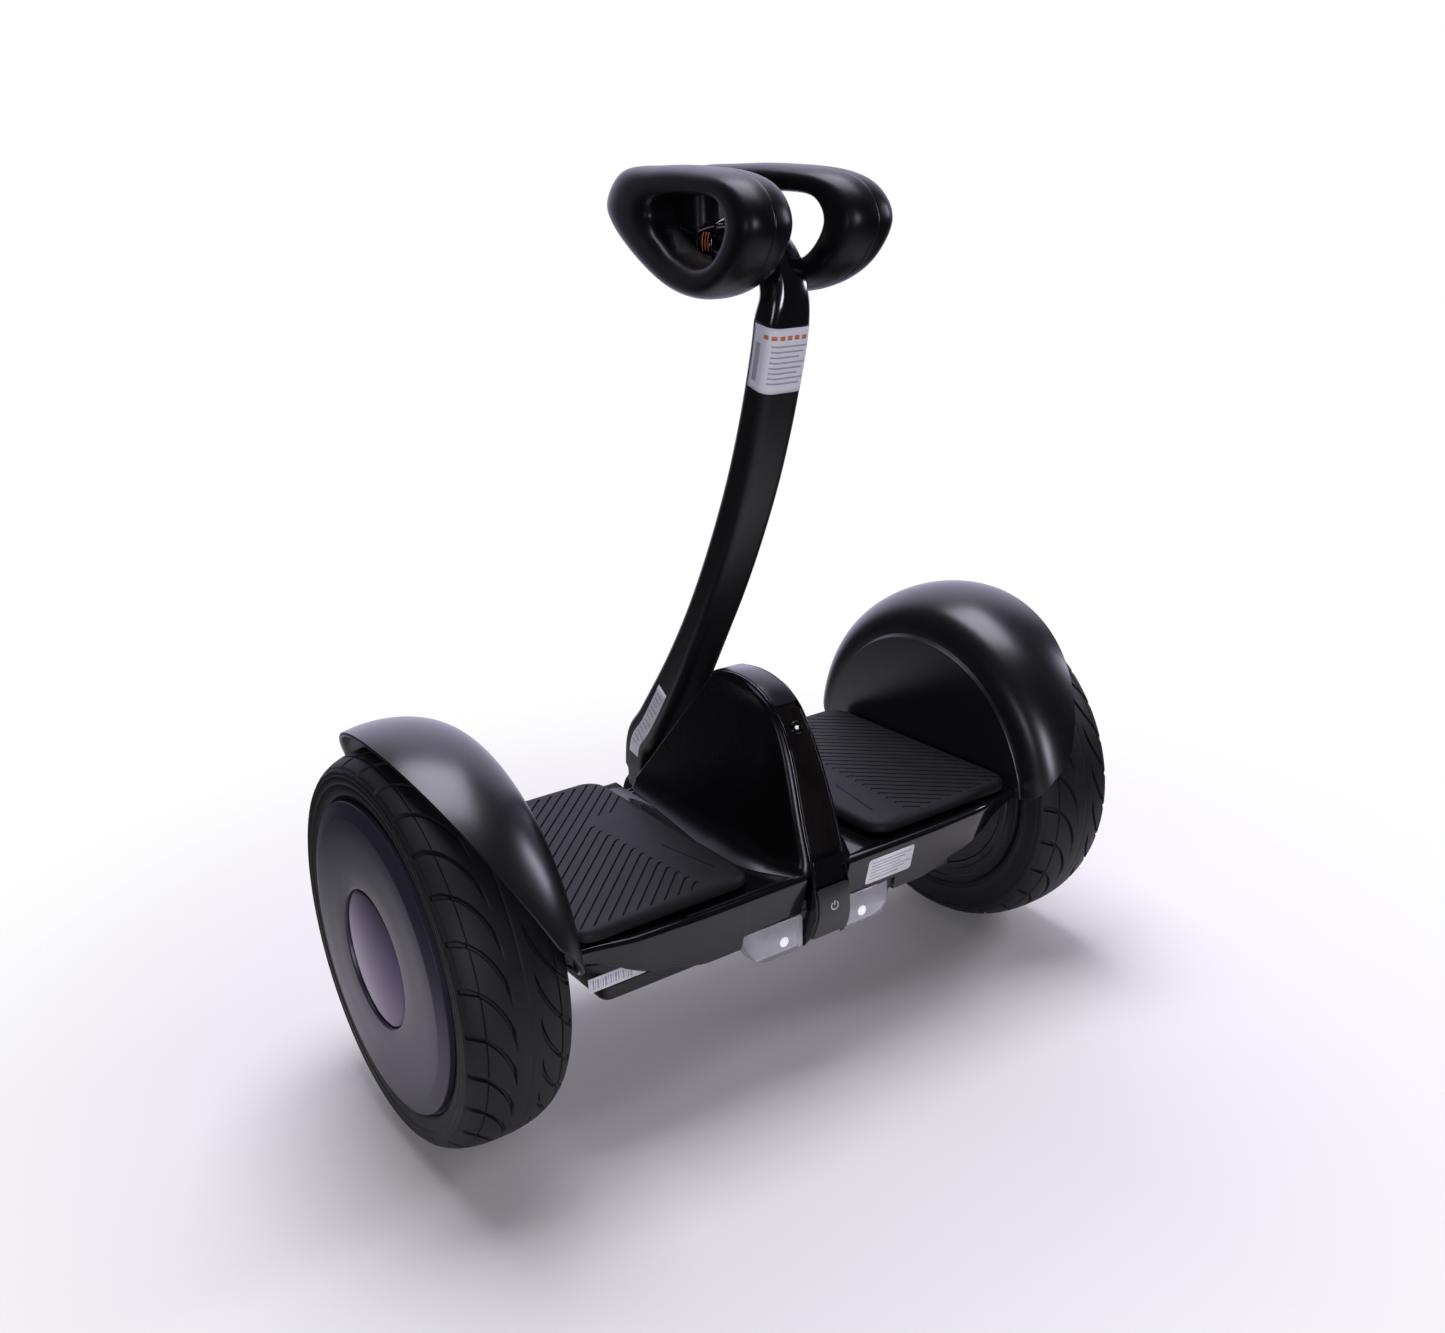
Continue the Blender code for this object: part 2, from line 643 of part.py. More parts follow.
def make_hump(look):
    heights = [HUMP_BASE, 150, 154, 160, 170, 185, 205, 225, 240, 250]
    wall = 2.2
    outers = []
    inners = []
    for z in heights:
        outline = hump_outline(z)
        outers.append(level(outline, z))
        middle = sum(y for x, y in outline) / len(outline)
        small = []
        for x, y in outline:
            run = math.hypot(x, y - middle)
            small.append((x * (1 - wall / run), middle + (y - middle) * (1 - wall / run)))
        inners.append(level(small, z - (0 if z == HUMP_BASE else wall)))
    rings = list(reversed(outers)) + inners
    loft("hump_cover", rings, look, sharp=50)


# ---------------------------------------------------------------- band, display and button
def band_half_width(z):
    return 11.0 + 3.6 * blend(-z, -245, -170) + 2.6 * blend(-z, -125, -92)


def make_band(looks):
    path = BAND_PATH
    sections = []
    for y, z in path:
        half = band_half_width(z)
        deep = 5.0 + 6.5 * blend(-z, -150, -136)
        groove = half - 3.2
        sections.append([(-half, -deep), (half, -deep), (half, -1.2), (half - 1.2, 0), (groove, 0),
                         (groove, -2.2), (-groove, -2.2), (-groove, 0), (-half + 1.2, 0), (-half, -1.2)])
    swept("trim_band", path, sections, looks["gloss"])
    spans = [("band_inlay_top", 2, 22, 0.2, "satin"), ("display_window", 23, 43, -0.1, "window"),
             ("band_inlay_lower", 44, 46, 0.3, "gloss")]
    for name, start, end, rise, look in spans:
        band_strip(name, start, end, (-1.9, rise), 3.5, looks[look])


def band_strip(name, start, end, heights, inset, look, pivot=(0, 0, 0)):
    """A strip that lies in the band's groove from one curve point to another."""
    part = smooth_curve(BAND_PATH, BAND_STEPS)[start:end + 1:2]
    low, high = heights
    shape = []
    for y, z in part:
        half = band_half_width(z) - inset
        shape.append([(-half, low), (half, low), (half, high), (-half, high)])
    swept(name, part, shape, look, pivot)


def make_indicator(look):
    """Round lens on the upper end of the display window."""
    path = smooth_curve(BAND_PATH, BAND_STEPS)
    y, z = path[LENS_STEP]
    ny, nz = path_normals(path)[LENS_STEP]
    rings = []
    for height, radius in ((0.25, 3.4), (0.7, 3.4), (1.0, 2.6)):
        ring = []
        for i in range(12):
            turn = 2 * math.pi * i / 12
            along = radius * math.sin(turn)
            ring.append((radius * math.cos(turn), y + ny * height + nz * along, z + nz * height - ny * along))
        rings.append(ring)
    loft("indicator_lens", rings, look)


# ---------------------------------------------------------------- lamps, port
def make_lamps(looks):
    for label, side in (("left", -1), ("right", 1)):
        rings = []
        for x, low, back in ((18.6, 91.8, -108), (48, 91.8, -107.5), (57, 95, -106), (63.5, 105, -102)):
            rings.append([(side * x, back, LAMP_TOP), (side * x, back, low + 2), (side * x, back + 2.5, low),
                          (side * x, -96, low), (side * x, -96, LAMP_TOP)])
        loft("tail_lamp_" + label, rings, looks["lamp"])
    lens = rounded(-44, 44, 93, 109, 5, 3)
    rings = [[(x, y, z) for x, z in lens] for y in (93, 98)]
    loft("headlamp_lens", rings, looks["lamp"])


def front_fascia(z):
    """How far forward the front fascia stands at height z beside the charging port."""
    low = fascia_bottom(PORT_X)
    tuck = FRONT_TUCK * (RIDGE_TOP - low)
    share = (z - low) / (RIDGE_TOP - 3 - low)
    return FRONT_RIDGE - tuck * (1 - share)


def make_charge_port(deck, looks):
    """Inlet in the front fascia behind a rubber cap that hangs from a hinge."""
    mouth = front_fascia(PORT_Z - 8) - 0.8
    barrel = []
    for y, radius in ((mouth, 8), (88.5, 8), (88.5, 5), (mouth, 5)):
        barrel.append(round_ring((PORT_X, y, PORT_Z), radius, "Y", 16))
    loft("charge_port", barrel, looks["steel"], closed=True)
    hole = [round_ring((PORT_X, y, PORT_Z), 8 + GAP, "Y", 16) for y in (90.5, 115)]
    cut(deck, loft("port_cutter", hole, looks["steel"]))
    outline = rounded(PORT_X - 13, PORT_X + 13, PORT_Z - 12, CAP_HINGE_Z, 5, 3)
    rings = [[(x, front_fascia(z) + gap, z) for x, z in outline] for gap in (0.4, 2.9)]
    loft("charge_port_cap", rings, looks["rubber"], pivot=(PORT_X, front_fascia(CAP_HINGE_Z) + 0.4, CAP_HINGE_Z))


# ---------------------------------------------------------------- mats and sensors
def mat_outline(side, inset):
    x0, x1 = sorted((side * (MAT_INNER + inset), side * (MAT_OUTER - inset)))
    return rounded(x0, x1, MAT_REAR + inset, MAT_FRONT - inset, MAT_CORNER - inset, 4)


def make_mat(label, side, look, sensor_look):
    middle = (side * (MAT_INNER + MAT_OUTER) / 2, 0, MAT_BOTTOM)
    rings = [level(mat_outline(side, 0), MAT_BOTTOM), level(mat_outline(side, 0.5), MAT_BOTTOM + 3),
             level(mat_outline(side, 4), MAT_TOP - 1.2), level(mat_outline(side, 6.5), MAT_TOP)]
    loft("foot_mat_" + label, rings, look, pivot=middle)
    x0, x1 = sorted((side * 80, side * 160))
    block("foot_sensor_" + label, (x0, x1), (-60, 60), (DECK_TOP + GAP, MAT_BOTTOM - MAT_TRAVEL - 0.2),
          sensor_look, 6)


# ---------------------------------------------------------------- steering
def make_steering(looks):
    pivot = (0, POST_FOOT_Y, STEER_AXIS_HEIGHT)
    sections = []
    for y, z in POST_PATH:
        depth = POST_FOOT_DEPTH + (POST_HALF_DEPTH - POST_FOOT_DEPTH) * blend(z, 190, 300)
        if z < POST_SOCKET_TOP:
            depth = POST_HALF_DEPTH
        sections.append(rounded(-POST_HALF_WIDTH, POST_HALF_WIDTH, -depth, depth, POST_CORNER, 2))
    swept("steering_post", POST_PATH, sections, looks["post"], pivot)
    foot = [round_ring((0, y, STEER_AXIS_HEIGHT), radius, "Y", 20)
            for y, radius in ((90.5, 17), (91.5, 18), (117, 18), (118.5, 16.5))]
    socket = loft("steering_foot", foot, looks["post"], pivot=pivot)
    room = POST_HALF_DEPTH + GAP
    hollow = rounded(-POST_HALF_WIDTH - GAP, POST_HALF_WIDTH + GAP, POST_FOOT_Y - room, POST_FOOT_Y + room,
                     POST_CORNER, 2)
    cut(socket, loft("foot_cutter", [level(hollow, POST_PATH[0][1] - GAP), level(hollow, 160)], looks["post"]))
    shaft = [round_ring((0, y, STEER_AXIS_HEIGHT), STEER_SHAFT_RADIUS, "Y", 16) for y in (34, 90.5 - GAP)]
    loft("steering_shaft", shaft, looks["steel"], pivot=pivot)
    neck = smooth_curve(NECK_PATH, 2)
    square = rounded(-POST_HALF_WIDTH, POST_HALF_WIDTH, -POST_HALF_DEPTH, POST_HALF_DEPTH, POST_CORNER, 2)
    sections = []
    for i in range(len(neck)):
        share = blend(i, 0, 3)
        section = []
        for x, h in square:
            spread = NECK_RADIUS / math.hypot(x, h)
            section.append((x + (x * spread - x) * share, h + (h * spread - h) * share))
        sections.append(section)
    swept("gooseneck", neck, sections, looks["gloss"], pivot)
    collar = []
    for y, radius in ((-25.4, 14), (-24, 15.2), (-10.5, 15.2), (-9.5, 14)):
        collar.append(round_ring((0, y, 545), radius, "Y", 14))
    loft("neck_collar", collar, looks["gloss"], pivot=pivot)
    block("pad_spine", (-11.2, 11.2), (-9, 64), (531, 583), looks["matte"], 9, 4, pivot)


def make_steering_housing(looks, shells):
    """Fixed bearing block for the steering shaft, with its bush and centring spring."""
    square = rounded(-24, 24, 117.2, 143.2, 4, 3)
    bore = [(x, z) for x, y, z in round_ring((0, 0, STEER_AXIS_HEIGHT), STEER_BORE_RADIUS, "Y", 16)]
    bore = bore[2:] + bore[:2]
    rings = [[(x, 44, z) for x, z in square], [(x, 67, z) for x, z in square],
             [(x, 67, z) for x, z in bore], [(x, 44, z) for x, z in bore]]
    loft("steering_housing", rings, looks["cast"], closed=True)
    bush = []
    thick = STEER_BORE_RADIUS - GAP
    thin = STEER_SHAFT_RADIUS + GAP
    for y, radius in ((44.5, thick), (66.5, thick), (66.5, thin), (44.5, thin)):
        bush.append(round_ring((0, y, STEER_AXIS_HEIGHT), radius, "Y", 16))
    loft("steering_bush", bush, looks["bush"], closed=True)
    hole = [round_ring((0, y, STEER_AXIS_HEIGHT), STEER_SHAFT_RADIUS + 0.8, "Y", 16) for y in (67.5, 95)]
    cutter = loft("shaft_cutter", hole, looks["steel"])
    for shell in shells:
        cut(shell, cutter)
    coil = []
    steps = 27
    for i in range(steps + 1):
        turn = 2 * math.pi * SPRING_TURNS * i / steps
        y = 36.2 + (SPRING_TURNS * 1.9) * i / steps
        ring = []
        for k in range(5):
            around = 2 * math.pi * k / 5
            radius = SPRING_RADIUS + SPRING_WIRE * math.cos(around)
            ring.append((radius * math.cos(turn), y + SPRING_WIRE * math.sin(around),
                         STEER_AXIS_HEIGHT + radius * math.sin(turn)))
        coil.append(ring)
    loft("centring_spring", coil, looks["steel"])


def make_pad(label, side, look):
    """Moulded ring: a blunt triangle seen from the side, with a finger hole."""
    outer = smooth_curve(PAD_OUTER, 2, closed=True)
    hole = smooth_curve(PAD_HOLE, 2, closed=True)
    steps = 10
    rings = []
    for (oy, oz), (iy, iz) in zip(outer, hole):
        ring = []
        for i in range(steps):
            turn = 2 * math.pi * (i + 0.5) / steps
            c = math.cos(turn)
            s = math.sin(turn)
            along = 0.5 + 0.5 * math.copysign(abs(c) ** 0.8, c)
            y = iy + (oy - iy) * along
            forward = (y - PAD_REAR_Y) / (PAD_FRONT_Y - PAD_REAR_Y)
            middle = PAD_REAR_SPREAD + (PAD_FRONT_SPREAD - PAD_REAR_SPREAD) * forward
            thick = PAD_REAR_THICKNESS + (PAD_FRONT_THICKNESS - PAD_REAR_THICKNESS) * forward
            across = thick * math.copysign(abs(s) ** 0.75, s)
            ring.append((side * (middle + across), y, iz + (oz - iz) * along))
        rings.append(ring)
    loft("knee_pad_" + label, rings, look, closed=True, pivot=(0, POST_FOOT_Y, STEER_AXIS_HEIGHT), sharp=60)


# ---------------------------------------------------------------- assembly
def clear_scene():
    for item in list(bpy.data.objects):
        bpy.data.objects.remove(item)


def make_looks():
    return {
        "tyre": material("tyre rubber", (0.02, 0.02, 0.02), 0.75),
        "rim": material("black cast rim", (0.03, 0.03, 0.03), 0.45, 0.6),
        "motor_cover": material("black motor cover", (0.03, 0.03, 0.035), 0.4, 0.7),
        "magnet": material("magnet", (0.2, 0.2, 0.2), 0.4, 0.8),
        "steel": material("steel", (0.55, 0.55, 0.56), 0.35, 1.0),
        "hub_disc": material("graphite disc", (0.05, 0.05, 0.055), 0.45, 0.3),
        "hub_cap": material("glossy hub cap", (0.03, 0.015, 0.03), 0.12, 0.2),
        "valve": material("valve brass", (0.6, 0.45, 0.2), 0.35, 1.0),
        "satin": material("satin black plastic", (0.02, 0.02, 0.022), 0.4),
        "gloss": material("piano black plastic", (0.008, 0.008, 0.009), 0.08),
        "matte": material("matt black plastic", (0.02, 0.02, 0.02), 0.6),
        "cast": material("cast magnesium", (0.25, 0.25, 0.26), 0.5, 0.9),
        "bush": material("bronze bush", (0.5, 0.35, 0.15), 0.4, 1.0),
        "post": material("black painted tube", (0.02, 0.02, 0.02), 0.4, 0.3),
        "window": material("dark window", (0.01, 0.01, 0.01), 0.05),
        "button": material("olive grey button", (0.05, 0.05, 0.04), 0.35),
        "lamp": material("clear lamp", (0.8, 0.8, 0.85), 0.1),
        "board": material("circuit board", (0.02, 0.12, 0.04), 0.5),
        "mat": material("foot mat rubber", (0.02, 0.02, 0.02), 0.7),
        "rubber": material("soft rubber", (0.02, 0.02, 0.02), 0.7),
        "pad": material("foam skin", (0.015, 0.015, 0.015), 0.45),
    }


def main():
    clear_scene()
    looks = make_looks()
    for label, side in (("left", -1), ("right", 1)):
        make_wheel(label, side, looks)
        make_fender(label, side, looks["satin"])
        make_axle_clamp(label, side, looks["cast"])
        make_mat(label, side, looks["mat"], looks["board"])
        make_pad(label, side, looks["pad"])
    chassis = make_chassis(looks["cast"])
    deck = make_deck(looks["gloss"])
    lower_shell = make_lower_shell(looks["matte"])
    cut_axle_holes((chassis, lower_shell), looks["cast"])
    make_battery(looks["matte"])
    make_hump(looks["matte"])
    make_band(looks)
    band_strip("power_button", 49, 61, (-0.4, 1.2), 3.7, looks["button"], (0, -118.6, 122))
    make_indicator(looks["lamp"])
    make_lamps(looks)
    make_charge_port(deck, looks)
    make_steering(looks)
    make_steering_housing(looks, (chassis, deck))
    block("control_board", (-70, 70), (-62, 26), (127, 128.6), looks["board"], 2)


main()
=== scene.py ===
"""Looks for a two-wheeled self-balancing transporter with a knee control bar.

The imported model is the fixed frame.  Shapes here are worked out in millimetres in that
frame (+X right, +Y forward, +Z up, origin on the ground under the axle), and
mesh_object() turns them into metres.
"""

import math

import bmesh
import bpy
import numpy as np
from mathutils import Matrix, Vector


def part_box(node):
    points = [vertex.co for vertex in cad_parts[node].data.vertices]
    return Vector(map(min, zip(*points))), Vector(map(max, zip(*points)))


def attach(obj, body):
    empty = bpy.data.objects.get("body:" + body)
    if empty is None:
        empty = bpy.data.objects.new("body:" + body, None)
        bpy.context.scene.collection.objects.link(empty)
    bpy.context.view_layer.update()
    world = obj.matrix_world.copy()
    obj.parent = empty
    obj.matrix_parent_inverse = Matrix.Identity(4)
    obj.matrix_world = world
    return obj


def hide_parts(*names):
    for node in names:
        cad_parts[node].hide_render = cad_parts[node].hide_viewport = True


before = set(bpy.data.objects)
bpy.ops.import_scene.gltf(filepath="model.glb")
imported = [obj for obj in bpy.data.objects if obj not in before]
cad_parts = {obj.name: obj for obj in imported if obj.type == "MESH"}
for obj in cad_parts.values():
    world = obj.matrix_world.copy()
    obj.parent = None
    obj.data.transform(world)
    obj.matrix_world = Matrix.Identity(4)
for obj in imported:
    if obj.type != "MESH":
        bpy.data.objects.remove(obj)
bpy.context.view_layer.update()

norm = np.linalg.norm

MM = 0.001
MICRON = 0.000001
LATHE_STEPS = 144
SIDES = (("left", -1), ("right", 1))


def mm_box(node):
    """Lowest and highest corner of a CAD node in millimetres."""
    low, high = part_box(node)
    return np.array(low) / MM, np.array(high) / MM


# ---- sizes from the frame
TYRE_LOW, TYRE_HIGH = mm_box("tyre_right")
RIM_LOW, RIM_HIGH = mm_box("rim_right")
DISC_LOW, DISC_HIGH = mm_box("hub_disc_right")
CAP_LOW, CAP_HIGH = mm_box("hub_cap_right")
FENDER_LOW = mm_box("fender_right")[0]
DECK_HIGH = mm_box("deck_cover")[1]
SHELL_LOW, SHELL_HIGH = mm_box("lower_shell")
BATTERY_LOW, BATTERY_HIGH = mm_box("battery_pack")
LAMP_HIGH = mm_box("tail_lamp_right")[1]
CAP_DOOR_LOW, CAP_DOOR_HIGH = mm_box("charge_port_cap")
LENS_LOW, LENS_HIGH = mm_box("headlamp_lens")
SPINE_LOW, SPINE_HIGH = mm_box("pad_spine")
COLLAR_LOW, COLLAR_HIGH = mm_box("neck_collar")
FOOT_LOW, FOOT_HIGH = mm_box("steering_foot")
COVER_LOW, COVER_HIGH = mm_box("motor_cover_inner_right")

AXLE_HEIGHT = (TYRE_LOW[2] + TYRE_HIGH[2]) / 2
TYRE_RADIUS = (TYRE_HIGH[2] - TYRE_LOW[2]) / 2
TYRE_MIDDLE = 235.5
TYRE_HALF_WIDTH = 39.5
TYRE_SECTION_DEPTH = 52.0
SHOULDER_RADIUS = TYRE_RADIUS - TYRE_SECTION_DEPTH / 2
RIM_BORE = 80.0
RIM_DRUM = 86.0
COVER_SCREW_CIRCLE = 66.0

# ---- tread
TREAD_PITCHES = 28
TREAD_FIRST = 126.8          # degrees from +Y, through +Z, of one groove's shoulder end
GROOVE_DEPTH = 2.3
LAND_COLUMNS = 6
TREAD_ROWS = [34.5, 33.6, 33, 32.6, 32.3, 31.5, 30.5, 29.5, 28, 26.5, 25.5, 24.7, 24.4, 23.8, 23.5, 22, 20,
              18, 16, 14, 12, 10.5, 9.2, 8.2, 7.4, 6.8, 6.3, 6, 4, 2, 0, -2.2, -2.6, -3.0, -5, -7.5, -9,
              -9.2, -9.6, -10.3, -11.3, -12.7, -14.5, -16.5, -18.5, -20.5, -22.5, -23.5, -23.8, -24.4,
              -24.7, -26.5, -28.5, -30.5, -31.5, -32.3, -32.6, -33, -33.6, -34.5]

# ---- fenders
FENDER_WALL = 190.0
FENDER_THICKNESS = 2.3
FENDER_WALL_RADIUS = 109.0
FENDER_RADIUS = 144.5
FENDER_LIP_OFFSET = 189.0
FENDER_LIP_SLOPE = 0.51
FENDER_STEPS = 145
FENDER_POINTS = 34

# ---- body
DECK_TOP = 146.8
RIDGE_TOP = DECK_HIGH[2]
FRONT_RIDGE = DECK_HIGH[1]
REAR_RIDGE = -114.0
DECK_HALF_LENGTH = DECK_HIGH[0]
NOTCH_HALF_WIDTH = 33.0
NOTCH_FRONT = 89.0
NOTCH_FLOOR = 125.0
SLOT_HALF_WIDTH = 18.2
SLOT_REAR = -101.5
LAMP_HALF_SPAN = 66.0
FRONT_TUCK = 0.14
REAR_TUCK = 0.24
BAY_TOP = 118.5
BATTERY_SCREWS = ((-146, -66), (-146, 66), (146, -66), (146, 66))
PORT_X = 95.0
TAIL_LED_X = 34.0
TAIL_LED_HEIGHT = 102.9
HEAD_LED_X = 22.0
HUMP_BASE = 147.2
HUMP_TOP = 264.4
INDICATOR_STEP = 78           # places along the trim band
ICON_STEP = 160

# ---- foot mats
MAT_CORNER = 17.0
GROOVE_FIRST = 87.5 * math.sqrt(2)      # x + y along the first groove
GROOVE_PITCH = 7.22 * math.sqrt(2)

# ---- steering bar
POST_HALF_WIDTH = 15.8
POST_HALF_DEPTH = 12.0
POST_FOOT_DEPTH = 15.5
POST_CORNER = 7.5
NECK_RADIUS = 14.5
STEERING_AXIS_HEIGHT = 131.0
STRIPE_RADIUS = 15.28

PAD_REAR_SPREAD = 36.8
PAD_FRONT_SPREAD = 25.0
PAD_REAR_THICKNESS = 18.5
PAD_FRONT_THICKNESS = 13.0
PAD_REAR_Y = -105.0
PAD_FRONT_Y = 56.0
BAR_WIDTHS = (1.0, 0.5, 1.4, 0.5, 0.9, 1.6, 0.5, 1.1, 0.6, 1.3)     # on the side label

# Points (y, z) of curves seen from the side, the same as in the CAD.
POST_PATH = [(104, 137), (104, 152), (98.5, 178), (80, 199), (49, 240), (22.8, 279),
             (-1.8, 319), (-23.4, 359), (-42.3, 399), (-57.8, 439), (-70.4, 479), (-75.4, 500)]
NECK_PATH = [(-75.6, 500.7), (-78.2, 513.5), (-75.5, 528), (-67, 538.5), (-54, 543.5), (-38, 545), (-26, 545)]
BAND_PATH = [(-1.5, 260.3), (-6.5, 262.2), (-12, 263.5), (-30, 265.4), (-48, 263.6), (-64, 257.5), (-77, 247),
             (-87, 230.5), (-95, 211), (-102, 190), (-107.5, 172), (-112.5, 156), (-116.5, 141),
             (-118.6, 128), (-118, 115), (-114, 103), (-107, 93)]
PAD_OUTER = [(70.5, 573), (62, 556.5), (27, 535), (-12, 519.5), (-48, 514.5), (-80, 519.5),
             (-106, 533.5), (-121, 556), (-112, 574.5), (-88, 585.5), (-44, 590.5), (0, 592), (46, 590.5)]
PAD_HOLE = [(6, 563), (1, 554.5), (-10, 547.5), (-24, 540), (-48, 534.5), (-68, 536.5), (-81, 544.5),
            (-88.5, 556), (-85.5, 566), (-74, 572), (-44, 574.5), (-14, 574), (1, 570)]


# ---- materials
def node_of(tree, kind, **inputs):
    """A shader node with some of its inputs set; names use _ for spaces."""
    made = tree.nodes.new(kind)
    for name, value in inputs.items():
        made.inputs[name.replace("_", " ")].default_value = value
    return made


def mapped(tree, source, smooth=False, **limits):
    """A source value stretched from its own limits to those of the result."""
    made = node_of(tree, "ShaderNodeMapRange", **limits)
    if smooth:
        made.interpolation_type = "SMOOTHSTEP"
    tree.links.new(source, made.inputs["Value"])
    return made.outputs["Result"]


def mixed(tree, factor, first, second):
    """A mix of two colours by a factor socket."""
    made = tree.nodes.new("ShaderNodeMix")
    made.data_type = "RGBA"
    made.inputs["A"].default_value = (*first, 1.0)
    made.inputs["B"].default_value = (*second, 1.0)
    tree.links.new(factor, made.inputs["Factor"])
    return made.outputs["Result"]


def mix_surface(tree, output, factor, first, second):
    """Mix two shaders by a factor socket into an output node."""
    mix = tree.nodes.new("ShaderNodeMixShader")
    tree.links.new(factor, mix.inputs["Fac"])
    tree.links.new(first, mix.inputs[1])
    tree.links.new(second, mix.inputs[2])
    tree.links.new(mix.outputs["Shader"], tree.nodes[output].inputs["Surface"])


def new_material(name):
    """A material, its node tree, its shader and a node that tells where a point is."""
    made = bpy.data.materials.new(name)
    made.use_nodes = True
    tree = made.node_tree
    return made, tree, tree.nodes["Principled BSDF"], tree.nodes.new("ShaderNodeTexCoord")


def surface(name, colour, other, roughness, grain=0.6, depth=30, metallic=0.0, spread=0.05, mottle=50,
            stretch=(1, 1, 1), **sockets):
    """A procedural finish: mottled colour and gloss, and a fine grain in the surface.

    grain and mottle are sizes in millimetres, depth is the height of the grain in
    micrometres, and spread is how far the roughness wanders.
    """
    made, tree, shader, place = new_material(name)
    scaled = node_of(tree, "ShaderNodeMapping", Scale=stretch)
    wide = node_of(tree, "ShaderNodeTexNoise", Scale=1 / (mottle * MM), Detail=4.0, Roughness=0.6)
    fine = node_of(tree, "ShaderNodeTexNoise", Scale=1 / (grain * MM), Detail=3.0, Roughness=0.55)
    bump = node_of(tree, "ShaderNodeBump", Strength=1.0, Distance=depth * MICRON)
    tone = mixed(tree, mapped(tree, wide.outputs["Fac"], To_Min=-0.3, To_Max=1.3), colour, other)
    gloss = mapped(tree, wide.outputs["Fac"], To_Min=roughness - spread, To_Max=roughness + spread)
    for source, target in (
        (place.outputs["Object"], scaled.inputs[0]),
        (scaled.outputs[0], wide.inputs["Vector"]),
        (scaled.outputs[0], fine.inputs["Vector"]),
        (tone, shader.inputs["Base Color"]),
        (gloss, shader.inputs["Roughness"]),
        (fine.outputs["Fac"], bump.inputs["Height"]),
        (bump.outputs["Normal"], shader.inputs["Normal"]),
    ):
        tree.links.new(source, target)
    shader.inputs["Metallic"].default_value = metallic
    for socket, value in sockets.items():
        shader.inputs[socket.replace("_", " ")].default_value = value
    return made


